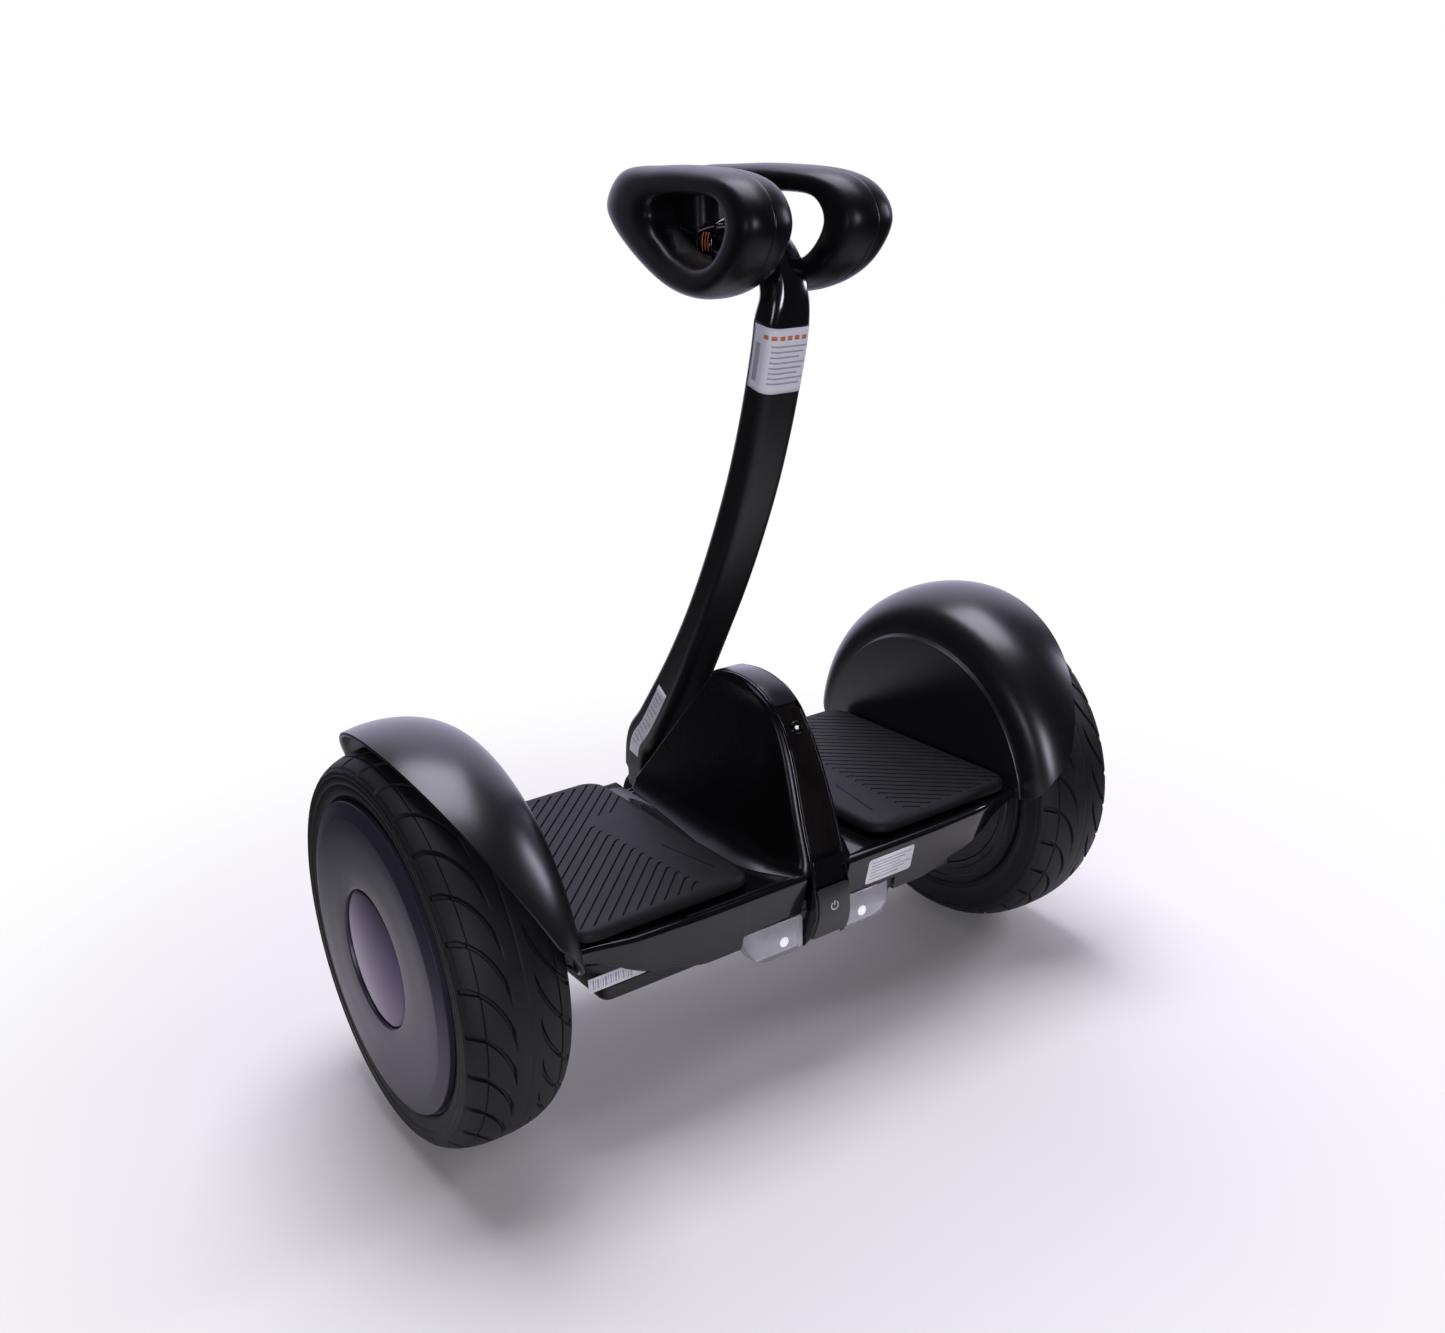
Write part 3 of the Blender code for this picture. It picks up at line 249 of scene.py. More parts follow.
# Each finish: its name, two colours that mottle into each other, roughness, and the rest
# of what surface() takes.
FINISHES = {
    "tyre": ("tyre_rubber", (0.003, 0.0029, 0.0033), (0.0075, 0.0073, 0.0081), 0.58,
        dict(grain=1.1, depth=60, spread=0.08, mottle=30, Specular_IOR_Level=0.36)),
    "rim": ("cast_rim_paint", (0.012, 0.012, 0.014), (0.02, 0.02, 0.023), 0.38,
        dict(grain=1.2, depth=40, metallic=0.4)),
    "cover": ("motor_cover_paint", (0.016, 0.016, 0.019), (0.026, 0.026, 0.03), 0.36, dict(metallic=0.5)),
    # The disc is partly its own graphite grey; its lavender tint is a painted reflection of the lavender room
    # light.
    "disc": ("graphite_disc_paint", (0.05, 0.046, 0.066), (0.058, 0.053, 0.076), 0.36,
        dict(grain=0.3, depth=12, metallic=0.55, spread=0.02)),
    # The cap is partly its own dark mirror metal; its purple base colour and pink specular tint are a painted
    # purple reflection of the room.
    "cap": ("hub_cap_with_painted_purple_reflection", (0.018, 0.009, 0.05), (0.024, 0.012, 0.062), 0.1,
        dict(grain=2, depth=8, metallic=1.0, spread=0.02, mottle=20, Specular_Tint=(1.0, 0.94, 1.0, 1))),
    "fender": ("fender_plastic", (0.0045, 0.0045, 0.0052), (0.0065, 0.0065, 0.0075), 0.29,
        dict(grain=0.9, spread=0.035, Specular_IOR_Level=0.62)),
    "gloss": ("piano_black", (0.002, 0.002, 0.0022), (0.0035, 0.0035, 0.004), 0.09,
        dict(grain=4, depth=12, spread=0.03, mottle=30, Coat_Weight=0.5, Coat_Roughness=0.03)),
    "fascia": ("fascia_plastic", (0.0035, 0.0035, 0.004), (0.006, 0.006, 0.0068), 0.13,
        dict(grain=3, depth=12, spread=0.03, mottle=30)),
    "hump": ("hump_plastic", (0.001, 0.001, 0.001), (0.0022, 0.0022, 0.0024), 0.27,
        dict(grain=0.9, depth=20, spread=0.04, Specular_IOR_Level=0.36)),
    "inlay": ("band_inlay_plastic", (0.01, 0.01, 0.012), (0.016, 0.016, 0.019), 0.22,
        dict(grain=1.2, depth=20, spread=0.04)),
    "shell": ("underbody_plastic", (0.006, 0.006, 0.0066), (0.011, 0.011, 0.012), 0.46,
        dict(grain=0.8, depth=60)),
    "battery": ("battery_case_plastic", (0.006, 0.006, 0.0066), (0.011, 0.011, 0.012), 0.4,
        dict(grain=0.7, depth=60)),
    "mat": ("mat_rubber", (0.0036, 0.0034, 0.004), (0.007, 0.0067, 0.0077), 0.58,
        dict(grain=0.7, depth=70, spread=0.06, mottle=20, Specular_IOR_Level=0.28)),
    "pad": ("foam_skin", (0.0035, 0.0035, 0.004), (0.006, 0.006, 0.0068), 0.34,
        dict(grain=0.8, depth=40, mottle=25, Specular_IOR_Level=0.27)),
    "post": ("post_powder_coat", (0.004, 0.004, 0.0045), (0.007, 0.007, 0.008), 0.38,
        dict(depth=40, spread=0.04)),
    "neck": ("neck_lacquer", (0.002, 0.002, 0.0024), (0.004, 0.004, 0.0045), 0.15,
        dict(grain=3, depth=6, spread=0.02, Coat_Weight=1.0, Coat_Roughness=0.16)),
    "button": ("button_plate", (0.04, 0.04, 0.036), (0.054, 0.054, 0.048), 0.3,
        dict(depth=20, metallic=0.3)),
    "window": ("display_glass", (0.002, 0.002, 0.002), (0.012, 0.01, 0.008), 0.05,
        dict(grain=20, depth=10, spread=0.02, mottle=11, stretch=(1, 0.5, 0.5), IOR=1.5)),
    "lamp": ("clear_lamp", (0.8, 0.8, 0.86), (0.9, 0.9, 0.95), 0.1,
        dict(grain=1.2, depth=150, spread=0.06, mottle=8, Transmission_Weight=0.8, IOR=1.49)),
    "led": ("led_lens", (0.85, 0.86, 0.9), (0.95, 0.96, 1.0), 0.15,
        dict(grain=1, depth=10, Emission_Color=(1, 1, 1, 1), Emission_Strength=0.35)),
    "label": ("label_paper", (0.9, 0.9, 0.92), (0.96, 0.96, 0.97), 0.4, dict(grain=0.8, depth=10)),
    "print": ("label_print", (0.42, 0.42, 0.47), (0.54, 0.54, 0.58), 0.45, dict(depth=10)),
    "header": ("label_header", (0.72, 0.2, 0.07), (0.8, 0.26, 0.1), 0.42, dict(depth=10)),
    "orange": ("orange_print", (0.62, 0.13, 0.015), (0.78, 0.2, 0.03), 0.35, dict(depth=10)),
    "icon": ("icon_print", (0.66, 0.66, 0.64), (0.78, 0.78, 0.76), 0.35, dict(depth=10)),
    "steel": ("machined_steel", (0.42, 0.42, 0.44), (0.56, 0.56, 0.58), 0.28,
        dict(grain=0.4, depth=20, metallic=1.0, stretch=(1, 6, 6))),
    "cast": ("cast_magnesium", (0.2, 0.2, 0.21), (0.3, 0.3, 0.31), 0.48,
        dict(grain=0.8, depth=80, metallic=0.9)),
    "magnet": ("magnet_nickel", (0.24, 0.24, 0.25), (0.34, 0.34, 0.35), 0.3, dict(metallic=0.9)),
    "copper": ("laminated_core", (0.22, 0.13, 0.08), (0.34, 0.3, 0.28), 0.42,
        dict(grain=0.4, depth=50, metallic=0.8, mottle=4, stretch=(4, 1, 1))),
    "bush": ("bronze_bush", (0.42, 0.27, 0.11), (0.54, 0.36, 0.16), 0.36, dict(metallic=1.0)),
    "board": ("circuit_board", (0.01, 0.06, 0.022), (0.03, 0.12, 0.045), 0.4,
        dict(grain=1.5, depth=80, mottle=4)),
    "valve": ("valve_rubber", (0.018, 0.018, 0.019), (0.03, 0.03, 0.031), 0.55, {}),
}


def make_looks():
    """All finishes, by what they are used on."""
    return {key: surface(*plain, **options) for key, (*plain, options) in FINISHES.items()}


# ---- mesh helpers
def blend(value, low, high):
    """0 below low, 1 above high, and an even ease between."""
    t = np.clip((value - low) / (high - low), 0.0, 1.0)
    return t * t * (3 - 2 * t)


def mesh_object(name, verts, faces, look, body, nodes=(), slot=None, sharp=32, thick=0.0):
    """A piece from points in millimetres that rides on a body and stands for CAD nodes."""
    data = bpy.data.meshes.new(name)
    data.from_pydata((np.asarray(verts, float) * MM).tolist(), [], faces)
    work = bmesh.new()
    work.from_mesh(data)
    bmesh.ops.recalc_face_normals(work, faces=work.faces)
    work.to_mesh(data)
    work.free()
    data.materials.append(look)
    data.shade_smooth()
    data.set_sharp_from_angle(angle=math.radians(sharp))
    made = bpy.data.objects.new(name, data)
    bpy.context.collection.objects.link(made)
    if thick:
        layer = made.modifiers.new("thickness", "SOLIDIFY")
        layer.thickness = thick * MM
        layer.offset = -1
    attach(made, body)
    if nodes:
        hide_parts(*nodes)
    return made


def grid_faces(rows, columns, closed_rows=False, closed_columns=True):
    """Quads between neighbouring points of a rows x columns grid."""
    i = np.arange(rows if closed_rows else rows - 1)
    j = np.arange(columns if closed_columns else columns - 1)
    i, j = np.meshgrid(i, j, indexing="ij")
    up = (i + 1) % rows
    on = (j + 1) % columns
    quads = np.stack([i * columns + j, i * columns + on, up * columns + on, up * columns + j], -1)
    return quads.reshape(-1, 4).tolist()


def skin(rings, closed=False):
    """Points and faces over rings of equal length, joined end to end or closed with caps."""
    rings = np.asarray(rings, float)
    total, count = rings.shape[:2]
    faces = grid_faces(total, count, closed_rows=closed)
    if not closed:
        faces.append(list(range(count)))
        faces.append(list(range((total - 1) * count, total * count)))
    return rings.reshape(-1, 3), faces


def merged(parts):
    """Points and faces of several meshes as one."""
    verts = []
    faces = []
    for points, own in parts:
        start = len(verts)
        verts += list(points)
        faces += [[start + v for v in face] for face in own]
    return verts, faces


def loft(name, rings, look, body, closed=False, **options):
    """A piece whose surface is a skin over rings."""
    return mesh_object(name, *skin(rings, closed), look, body, **options)


def ring_points(centre, radius, axis="X", segments=32):
    """A circle about an axis through centre."""
    turn = np.linspace(0, 2 * math.pi, segments, endpoint=False)
    a = radius * np.cos(turn)
    b = radius * np.sin(turn)
    zero = np.zeros(segments)
    offsets = {"X": (zero, a, b), "Y": (a, zero, b), "Z": (a, b, zero)}[axis]
    return np.asarray(centre, float) + np.stack(offsets, -1)


def shifted(x, radius, offsets):
    """Profile points given as offsets from a place on the profile."""
    return [(x + a, radius + b) for a, b in offsets]


def wheel_turned(name, side, profile, look, body, closed=True, **options):
    """A lathe form about the axle; profile holds (distance from centre, radius)."""
    rings = [ring_points((side * x, 0, AXLE_HEIGHT), max(r, 0.01), "X", LATHE_STEPS) for x, r in profile]
    return loft(name, rings, look, body, closed=closed, **options)


def circles_along_y(x, z, profile, segments=32):
    """Circles about a line parallel to Y; profile holds (y, radius)."""
    return [ring_points((x, y, z), r, "Y", segments) for y, r in profile]


def filleted(corners, radius, steps=5):
    """A polygon's outline with each corner replaced by a short curve of fixed point count."""
    points = np.asarray(corners, float)
    radii = np.broadcast_to(radius, len(points))
    share = np.linspace(0, 1, steps)[:, None]
    outline = []
    for i, here in enumerate(points):
        before = points[i - 1] - here
        after = points[(i + 1) % len(points)] - here
        a = before / norm(before) * min(radii[i], 0.48 * norm(before))
        b = after / norm(after) * min(radii[i], 0.48 * norm(after))
        outline.append(here + (1 - share) ** 2 * a + share ** 2 * b)
    return np.concatenate(outline)


def rounded(x0, x1, y0, y1, radius, steps=8):
    """A rectangle's outline with round corners, anticlockwise from +X."""
    turn = np.radians(np.linspace(0, 90, steps + 1))
    outline = []
    for cx, cy, start in ((x1 - radius, y1 - radius, 0), (x0 + radius, y1 - radius, 90),
                          (x0 + radius, y0 + radius, 180), (x1 - radius, y0 + radius, 270)):
        around = turn + math.radians(start)
        outline.append(np.stack([cx + radius * np.cos(around), cy + radius * np.sin(around)], -1))
    return np.concatenate(outline)


def inset_box(low, high, inset, radius, steps, up=1):
    """Outline of a CAD box in X and another axis, drawn in by inset, with round corners."""
    return rounded(low[0] + inset, high[0] - inset, low[up] + inset, high[up] - inset, radius, steps)


def level(outline, z):
    """A plan outline of (x, y) at height z."""
    return np.column_stack([outline, np.full(len(outline), z)])


def upright(x, section):
    """A side-view outline of (y, z) at x."""
    return np.column_stack([np.full(len(section), x), section])


def smooth_curve(points, steps, closed=False):
    """Points along a Catmull-Rom curve through the given points."""
    points = np.asarray(points, float)
    if closed:
        around = np.concatenate([points[-1:], points, points[:2]])
    else:
        around = np.concatenate([points[:1], points, points[-1:]])
    t = (np.arange(steps) / steps)[:, None]
    curve = []
    for a, b, c, d in zip(around, around[1:], around[2:], around[3:]):
        curve.append(0.5 * (2 * b + (c - a) * t + (2 * a - 5 * b + 4 * c - d) * t ** 2
                            + (3 * b - a - 3 * c + d) * t ** 3))
    if not closed:
        curve.append(points[-1:])
    return np.concatenate(curve)


def travel(path):
    """Unit directions of travel at the points of an open path."""
    steps = np.arange(len(path))
    run = path[np.minimum(steps + 1, len(path) - 1)] - path[np.maximum(steps - 1, 0)]
    return run / np.maximum(norm(run, axis=1), 1e-9)[:, None]


def path_normals(path):
    """Unit normals on the right of the direction of travel."""
    run = travel(path)
    return np.column_stack([run[:, 1], -run[:, 0]])


def swept_rings(path, sections):
    """Sections of (x, height above the path) carried along a side-view path."""
    rings = []
    for (y, z), (ny, nz), section in zip(path, path_normals(path), sections):
        x, h = np.asarray(section, float).T
        rings.append(np.stack([x, y + ny * h, z + nz * h], -1))
    return rings


def resample(curve, count):
    """Evenly spaced points along a polyline."""
    steps = norm(np.diff(curve, axis=0), axis=1)
    lengths = np.concatenate([[0], np.cumsum(steps)])
    goals = np.linspace(0, lengths[-1], count)
    return np.column_stack([np.interp(goals, lengths, curve[:, k]) for k in range(curve.shape[1])])


# ---- wheels
def tread_turn(u):
    """How far round (degrees) a groove has run at a distance u from the tyre's middle."""
    outer = np.clip((u - 6) / 26, 0, 1)
    inner = np.clip((-u - 9) / 23, 0, 1)
    swoosh = 21.0 * (1 - outer ** 0.625) ** 1.5625
    middle = 5.4 * np.clip((6 - u) / 15, 0, 1)
    return swoosh + middle + 20.0 * inner ** (1 / 1.7)


def tread_depth(u):
    """How deep a groove is at a distance u from the tyre's middle."""
    depth = np.where(u > 0, blend(u, 6, 8.5), blend(-u, 9, 10.5))
    return GROOVE_DEPTH * depth * (1 - blend(np.abs(u), 32.2, 34.2))


def crown_radius(u):
    """Radius of the tyre's outside at a distance u from its middle plane."""
    across = np.clip(np.abs(u) / TYRE_HALF_WIDTH, 0, 1)
    return SHOULDER_RADIUS + TYRE_SECTION_DEPTH / 2 * (1 - across ** 2.5) ** 0.4


def sidewall(outboard):
    """Points (distance from the middle plane, radius) from the shoulder down to the bead."""
    if outboard:
        return [(34.75, 118.4), (34.7, 117.2), (34.35, 116.7), (34.3, 116.0), (34.55, 115.5), (34.3, 112.2),
                (33.85, 111.7), (33.8, 111.0), (34.05, 110.5), (33.7, 107.5), (33.2, 105.0), (32.5, 103.7),
                (31.6, 103.0), (31.0, 102.4), (31.0, 96.6), (27.1, 96.4), (27.1, 87.0)]
    return [(35.0, 118.2), (35.25, 116.9), (34.9, 116.4), (34.95, 115.7), (35.3, 115.2), (35.75, 112.0),
            (36.0, 109.0), (36.1, 106.0), (35.9, 103.4), (35.5, 102.6), (35.4, 101.2), (34.9, 100.8),
            (34.9, 100.0), (35.1, 99.4), (34.6, 98.2), (33.6, 97.2), (33.4, 96.6), (33.3, 87.0)]


def make_tyre(label, side, look):
    """A tyre whose tread is a sheared grid, so that its columns follow the grooves."""
    rows = np.array(TREAD_ROWS, float)
    first = sidewall(side < 0)
    last = sidewall(side > 0)
    u = np.concatenate([[p[0] for p in reversed(first)], rows, [-p[0] for p in last]])
    radius = np.concatenate([[p[1] for p in reversed(first)], crown_radius(rows), [p[1] for p in last]])
    on_tread = np.zeros(len(u), bool)
    on_tread[len(first):len(first) + len(rows)] = True
    line = np.where(on_tread & (np.abs(np.abs(u) - 24.1) < 0.35), 1.0, 0.0)
    ledge = np.where(on_tread & (np.abs(u) > 32.45), 0.5, 0.0)
    seam = np.where(on_tread & (np.abs(u + 2.6) < 0.1), 0.15, 0.0)
    radius = radius - line - ledge - seam
    turn = np.radians(tread_turn(u))
    step = 0.05
    slope = np.radians(tread_turn(u + step) - tread_turn(u - step)) / (2 * step) * radius
    width = 2.7 + 1.4 * blend(np.abs(u), 25.5, 28)
    half = np.minimum(width / 2 * np.sqrt(1 + slope ** 2) / radius, math.radians(3.4))
    depth = np.where(on_tread, tread_depth(u), 0.0)
    pitch = 2 * math.pi / TREAD_PITCHES
    offsets = [-half, -0.55 * half, 0.55 * half, half]
    for k in range(1, LAND_COLUMNS + 1):
        offsets.append(half + (pitch - 2 * half) * k / (LAND_COLUMNS + 1))
    offsets = np.stack(offsets, -1)
    sunk = np.zeros(offsets.shape)
    sunk[:, 1:3] = depth[:, None]
    columns = offsets.shape[1]
    starts = math.radians(TREAD_FIRST) + pitch * np.arange(TREAD_PITCHES)
    angle = (turn[:, None, None] + starts[None, :, None] + offsets[:, None, :]).reshape(len(u), -1)
    reach = np.tile((radius[:, None] - sunk), (1, TREAD_PITCHES)).reshape(len(u), -1)
    x = np.repeat((side * TYRE_MIDDLE - u)[:, None], TREAD_PITCHES * columns, 1)
    rings = np.stack([x, reach * np.cos(angle), AXLE_HEIGHT + reach * np.sin(angle)], -1)
    loft("tyre_tread_" + label, rings, look, label + "_wheel", closed=True, nodes=("tyre_" + label,),
         slot="tyre", sharp=38)


def make_wheel(label, side, looks):
    """Tyre, rim, motor side cover, hub disc and hub cap of one wheel."""
    body = label + "_wheel"
    make_tyre(label, side, looks["tyre"])
    inner = RIM_LOW[0]
    outer = RIM_HIGH[0]
    flange = (RIM_HIGH[2] - RIM_LOW[2]) / 2
    rim = shifted(inner, RIM_BORE, [(0.8, 0), (0, 0.8), (0, 4.2), (1.2, 5.2)])
    rim += shifted(inner, flange, [(1.2, -5.5), (0, -4.4), (0, -1.2), (0.5, -0.3), (1.5, 0), (2.6, -0.4),
                                   (3, -1.4)])
    rim += shifted(inner, RIM_DRUM, [(3.4, 1), (5, 0)]) + shifted(outer, RIM_DRUM, [(-5, 0), (-3.4, 1)])
    rim += shifted(outer, flange, [(-3, -1.4), (-2.6, -0.4), (-1.5, 0), (-0.4, -0.5), (0, -1.4)])
    rim.append((outer, RIM_BORE))
    wheel_turned("wheel_rim_" + label, side, rim, looks["rim"], body, nodes=("rim_" + label,), slot="rim")
    make_side_cover(label, side, looks, body)
    back = DISC_LOW[0]
    front = DISC_HIGH[0]
    edge = (DISC_HIGH[2] - DISC_LOW[2]) / 2
    seat = (CAP_HIGH[2] - CAP_LOW[2]) / 2 + 0.25
    disc = [(back, seat), (back, edge - 0.5), (back + 0.5, edge)]
    disc += shifted(front, edge, [(-3.2, 0), (-2.8, -0.25), (-2.5, -0.9)])
    disc += shifted(front, 0, [(-0.4, 92.1), (-0.15, 91.4), (0, 90.5), (0, 75), (0, 61.5)])
    disc += shifted(front, seat, [(0, 2.0), (-0.15, 1.3), (-0.7, 0.5), (-2.2, 0)])
    wheel_turned("hub_disc_face_" + label, side, disc, looks["disc"], body, nodes=("hub_disc_" + label,),
                 slot="hub_disc", sharp=25)
    crown = CAP_HIGH[0]
    edge = (CAP_HIGH[2] - CAP_LOW[2]) / 2
    dome = shifted(back, edge, [(0, 0), (4.9, 0), (5.3, -0.25), (5.55, -0.9)])
    rise = crown - back - 5.55
    for share in np.arange(1, 19) / 18:
        dome.append((crown - rise * (1 - share) ** 2.0, (edge - 0.9) * (1 - share)))
    wheel_turned("hub_cap_dome_" + label, side, dome, looks["cap"], body, closed=False,
                 nodes=("hub_cap_" + label,), slot="hub_cap", sharp=40)


def make_side_cover(label, side, looks, body):
    """The motor's side cover, with six hexagon-socket screws round it."""
    face = COVER_LOW[0]
    edge = (COVER_HIGH[2] - COVER_LOW[2]) / 2
    cover = [(0.8, edge), (0, edge - 0.8), (0, edge - 7), (1.0, edge - 8), (1.0, 52), (0.2, 51), (0.2, 48),
             (1.0, 47), (1.0, 31), (0, 29), (0, 22), (0.6, 21), (0.6, 17.4), (1.2, 16.4), (8, 16.4), (8, 26),
             (4, 30), (4, edge)]
    wheel_turned("motor_side_cover_" + label, side, shifted(face, 0, cover), looks["cover"], body,
                 nodes=("motor_cover_inner_" + label,), slot="motor_cover", sharp=28)
    around = np.linspace(0, 2 * math.pi, 24, endpoint=False)
    hexagon = math.cos(math.pi / 6) / np.cos((around % (math.pi / 3)) - math.pi / 6)
    screws = []
    for turn in np.radians(30 + 60 * np.arange(6)):
        y = COVER_SCREW_CIRCLE * math.cos(turn)
        z = AXLE_HEIGHT + COVER_SCREW_CIRCLE * math.sin(turn)
        profile = [(1.2, 3.2), (-0.6, 3.2), (-0.9, 2.9), (-0.9, 1.6 * hexagon), (0.5, 1.6 * hexagon)]
        screws.append(skin([ring_points((side * (face + x), y, z), r, "X", 24) for x, r in profile]))
    mesh_object("motor_cover_screws_" + label, *merged(screws), looks["steel"], body, slot="steel")


# ---- fenders
def fender_curve():
    """Outside of the fender's section: inner wall, round shoulder and crown."""
    turn = np.radians(np.linspace(180, 28, 90))
    reach = TYRE_MIDDLE - FENDER_WALL + 1
    rise = FENDER_RADIUS - FENDER_WALL_RADIUS
    x = FENDER_WALL + reach * (1 + np.cos(turn))
    radius = FENDER_WALL_RADIUS + rise * np.sin(turn) ** 0.72
    return np.column_stack([x, radius])


def clipped(curve, over):
    """The curve as far as the place where over turns positive."""
    k = int(np.argmax(over > 0))
    if over[k] <= 0:
        return curve
    share = -over[k - 1] / (over[k] - over[k - 1])
    return np.concatenate([curve[:k], [curve[k - 1] + share * (curve[k] - curve[k - 1])]])


def fender_outside(curve, sine, low):
    """The section at one angle round the wheel, cut at the leaning lip and at the round tips."""
    curve = clipped(curve, curve[:, 0] - FENDER_LIP_OFFSET - FENDER_LIP_SLOPE * curve[:, 1] * sine)
    height = np.maximum(curve[:, 1] * sine - low, 0.0)
    return clipped(curve, curve[:, 1] - FENDER_WALL_RADIUS - 3.0 - 5.0 * np.sqrt(height))


def make_fender(label, side, look):
    """Wheel cover: a flat inner wall, then a round shell that ends at a rolled lip."""
    curve = fender_curve()
    low = FENDER_LOW[2] - AXLE_HEIGHT
    first = math.degrees(math.asin(low / (FENDER_WALL_RADIUS - 2)))
    back = FENDER_LOW[0]
    rings = []
    for turn in np.radians(np.linspace(first, 180 - first, FENDER_STEPS)):
        sine = math.sin(turn)
        foot = min(low / sine, FENDER_WALL_RADIUS - 2)
        outside = resample(fender_outside(curve, sine, low), FENDER_POINTS)
        normal = -path_normals(outside)
        lengths = norm(outside - outside[-1], axis=1)
        wall = FENDER_THICKNESS + 0.55 * (1 - blend(lengths, 1.2, 4.2))
        inside = outside - normal * wall[:, None]
        tip = outside[-1] - normal[-1] * wall[-1] / 2
        forward = (outside[-1] - outside[-2]) / norm(outside[-1] - outside[-2])
        section = [(back, foot), (back, FENDER_WALL_RADIUS + 0.4), (back + 0.6, FENDER_WALL_RADIUS + 0.9),
                   *outside[1:], outside[-1] + forward * 0.25, tip + forward * 0.9 + normal[-1] * 0.5,
                   tip + forward * 0.9 - normal[-1] * 0.5, inside[-1] + forward * 0.25, *inside[:1:-1],
                   (FENDER_WALL + 0.4, FENDER_WALL_RADIUS - 1.5), (FENDER_WALL, FENDER_WALL_RADIUS - 2.5),
                   (FENDER_WALL, foot)]
        x, radius = np.array(section).T
        rings.append(np.stack([side * x, radius * math.cos(turn), AXLE_HEIGHT + radius * math.sin(turn)], -1))
    loft("fender_shell_" + label, rings, look, "chassis", nodes=("fender_" + label,), slot="satin_plastic",
         sharp=35)


# ---- deck, fascias and underbody
def rear_ridge(x):
    """How far back the deck's rear edge stands at x."""
    x = abs(x)
    if x < SLOT_HALF_WIDTH:
        return SLOT_REAR
    return REAR_RIDGE + 2.5 * blend(x, 90, 150) + 8.5 * blend(x, 140, DECK_HALF_LENGTH)


def fascia_bottom(x):
    """Height of the fascias' lower edge at x."""
    x = abs(x)
    if x < LAMP_HALF_SPAN:
        return LAMP_HIGH[2] + 0.3
    return 107.0 + 9.0 * blend(x, 90, 130) + 22.0 * blend(x, 125, DECK_HALF_LENGTH)


def front_ridge(x):
    """How far forward the deck's front edge stands at x."""
    if abs(x) < NOTCH_HALF_WIDTH:
        return NOTCH_FRONT
    return FRONT_RIDGE - 6.0 * blend(abs(x), 120, DECK_HALF_LENGTH)


def rear_face(x, z):
    """How far back the rear fascia stands at a place on it."""
    low = fascia_bottom(x)
    top = RIDGE_TOP - 2.5
    return rear_ridge(x) + REAR_TUCK * (RIDGE_TOP - low) * (top - z) / (top - low)


def deck_section(x):
    """Side view of the deck cover at x: a channel that is open below."""
    back = rear_ridge(x)
    front = front_ridge(x)
    low = fascia_bottom(x)
    notched = abs(x) < NOTCH_HALF_WIDTH
    front_low = NOTCH_FLOOR if notched else low
    front_tuck = FRONT_TUCK * (RIDGE_TOP - front_low)
    tuck = REAR_TUCK * (RIDGE_TOP - low)
    thick = 3.0
    top = DECK_TOP
    front_top = top if notched else RIDGE_TOP
    back_top = top if abs(x) < SLOT_HALF_WIDTH else RIDGE_TOP
    corners = [(front - front_tuck, front_low), (front, front_top - 3), (front - 1.5, front_top),
               (front - 4, front_top), (front - 7, top), (back + 9, top), (back + 5, back_top),
               (back + 1.6, back_top), (back, back_top - 2.5), (back + tuck, low), (back + tuck + thick, low),
               (back + thick + 1.5, top - thick), (front - thick - 1.5, top - thick),
               (front - front_tuck - thick, front_low)]
    radii = [0.8, 1.4, 1.2, 1.5, 3, 3, 1.5, 1.2, 1.4, 0.8, 0.8, 1, 1, 0.8]
    return filleted(corners, radii, 4)


def make_deck(look):
    """Deck cover with a rib in front of and behind the mats, and both fascias."""
    half = [18.0, 18.4, 22, 28, 32.8, 33.2, 40, 50, 58, 65.7, 66.3, *np.arange(70, 184, 4.0),
            DECK_HALF_LENGTH - 0.8, DECK_HALF_LENGTH]
    rings = [upright(x, deck_section(x)) for x in [-x for x in reversed(half)] + half]
    loft("deck_shell", rings, look, "chassis", nodes=("deck_cover",), slot="gloss_plastic", sharp=40)


def make_underbody(look):
    """Underbody pan with a bay for the battery pack."""
    floor = SHELL_LOW[2]
    top = SHELL_HIGH[2]
    wall = 2.5
    bay = BATTERY_HIGH[0] + 0.3
    bay_side = BATTERY_HIGH[1] + 0.3

    def outline(grow):
        return rounded(-178 - grow, 178 + grow, -88 - grow, 82 + grow, 22 + grow, 12)

    def dropped(points, base):
        return np.column_stack([points, base + 16.0 * blend(np.abs(points[:, 0]), 150, 184)])

    bay_edge = rounded(-bay, bay, -bay_side, bay_side, 8, 12)
    bay_back = rounded(-bay - wall, bay + wall, -bay_side - wall, bay_side + wall, 8 + wall, 12)
    rings = [level(outline(0), top), level(outline(0), top - 1.5), dropped(outline(0), floor + 2.2),
             dropped(outline(-0.7), floor + 0.7), dropped(outline(-2.2), floor), dropped(bay_edge, floor),
             level(bay_edge, BAY_TOP), level(bay_back, BAY_TOP), dropped(bay_back, floor + wall),
             dropped(outline(-wall), floor + wall), level(outline(-wall), top)]
    loft("underbody_pan", rings, look, "chassis", closed=True, nodes=("lower_shell",), slot="matte_plastic")


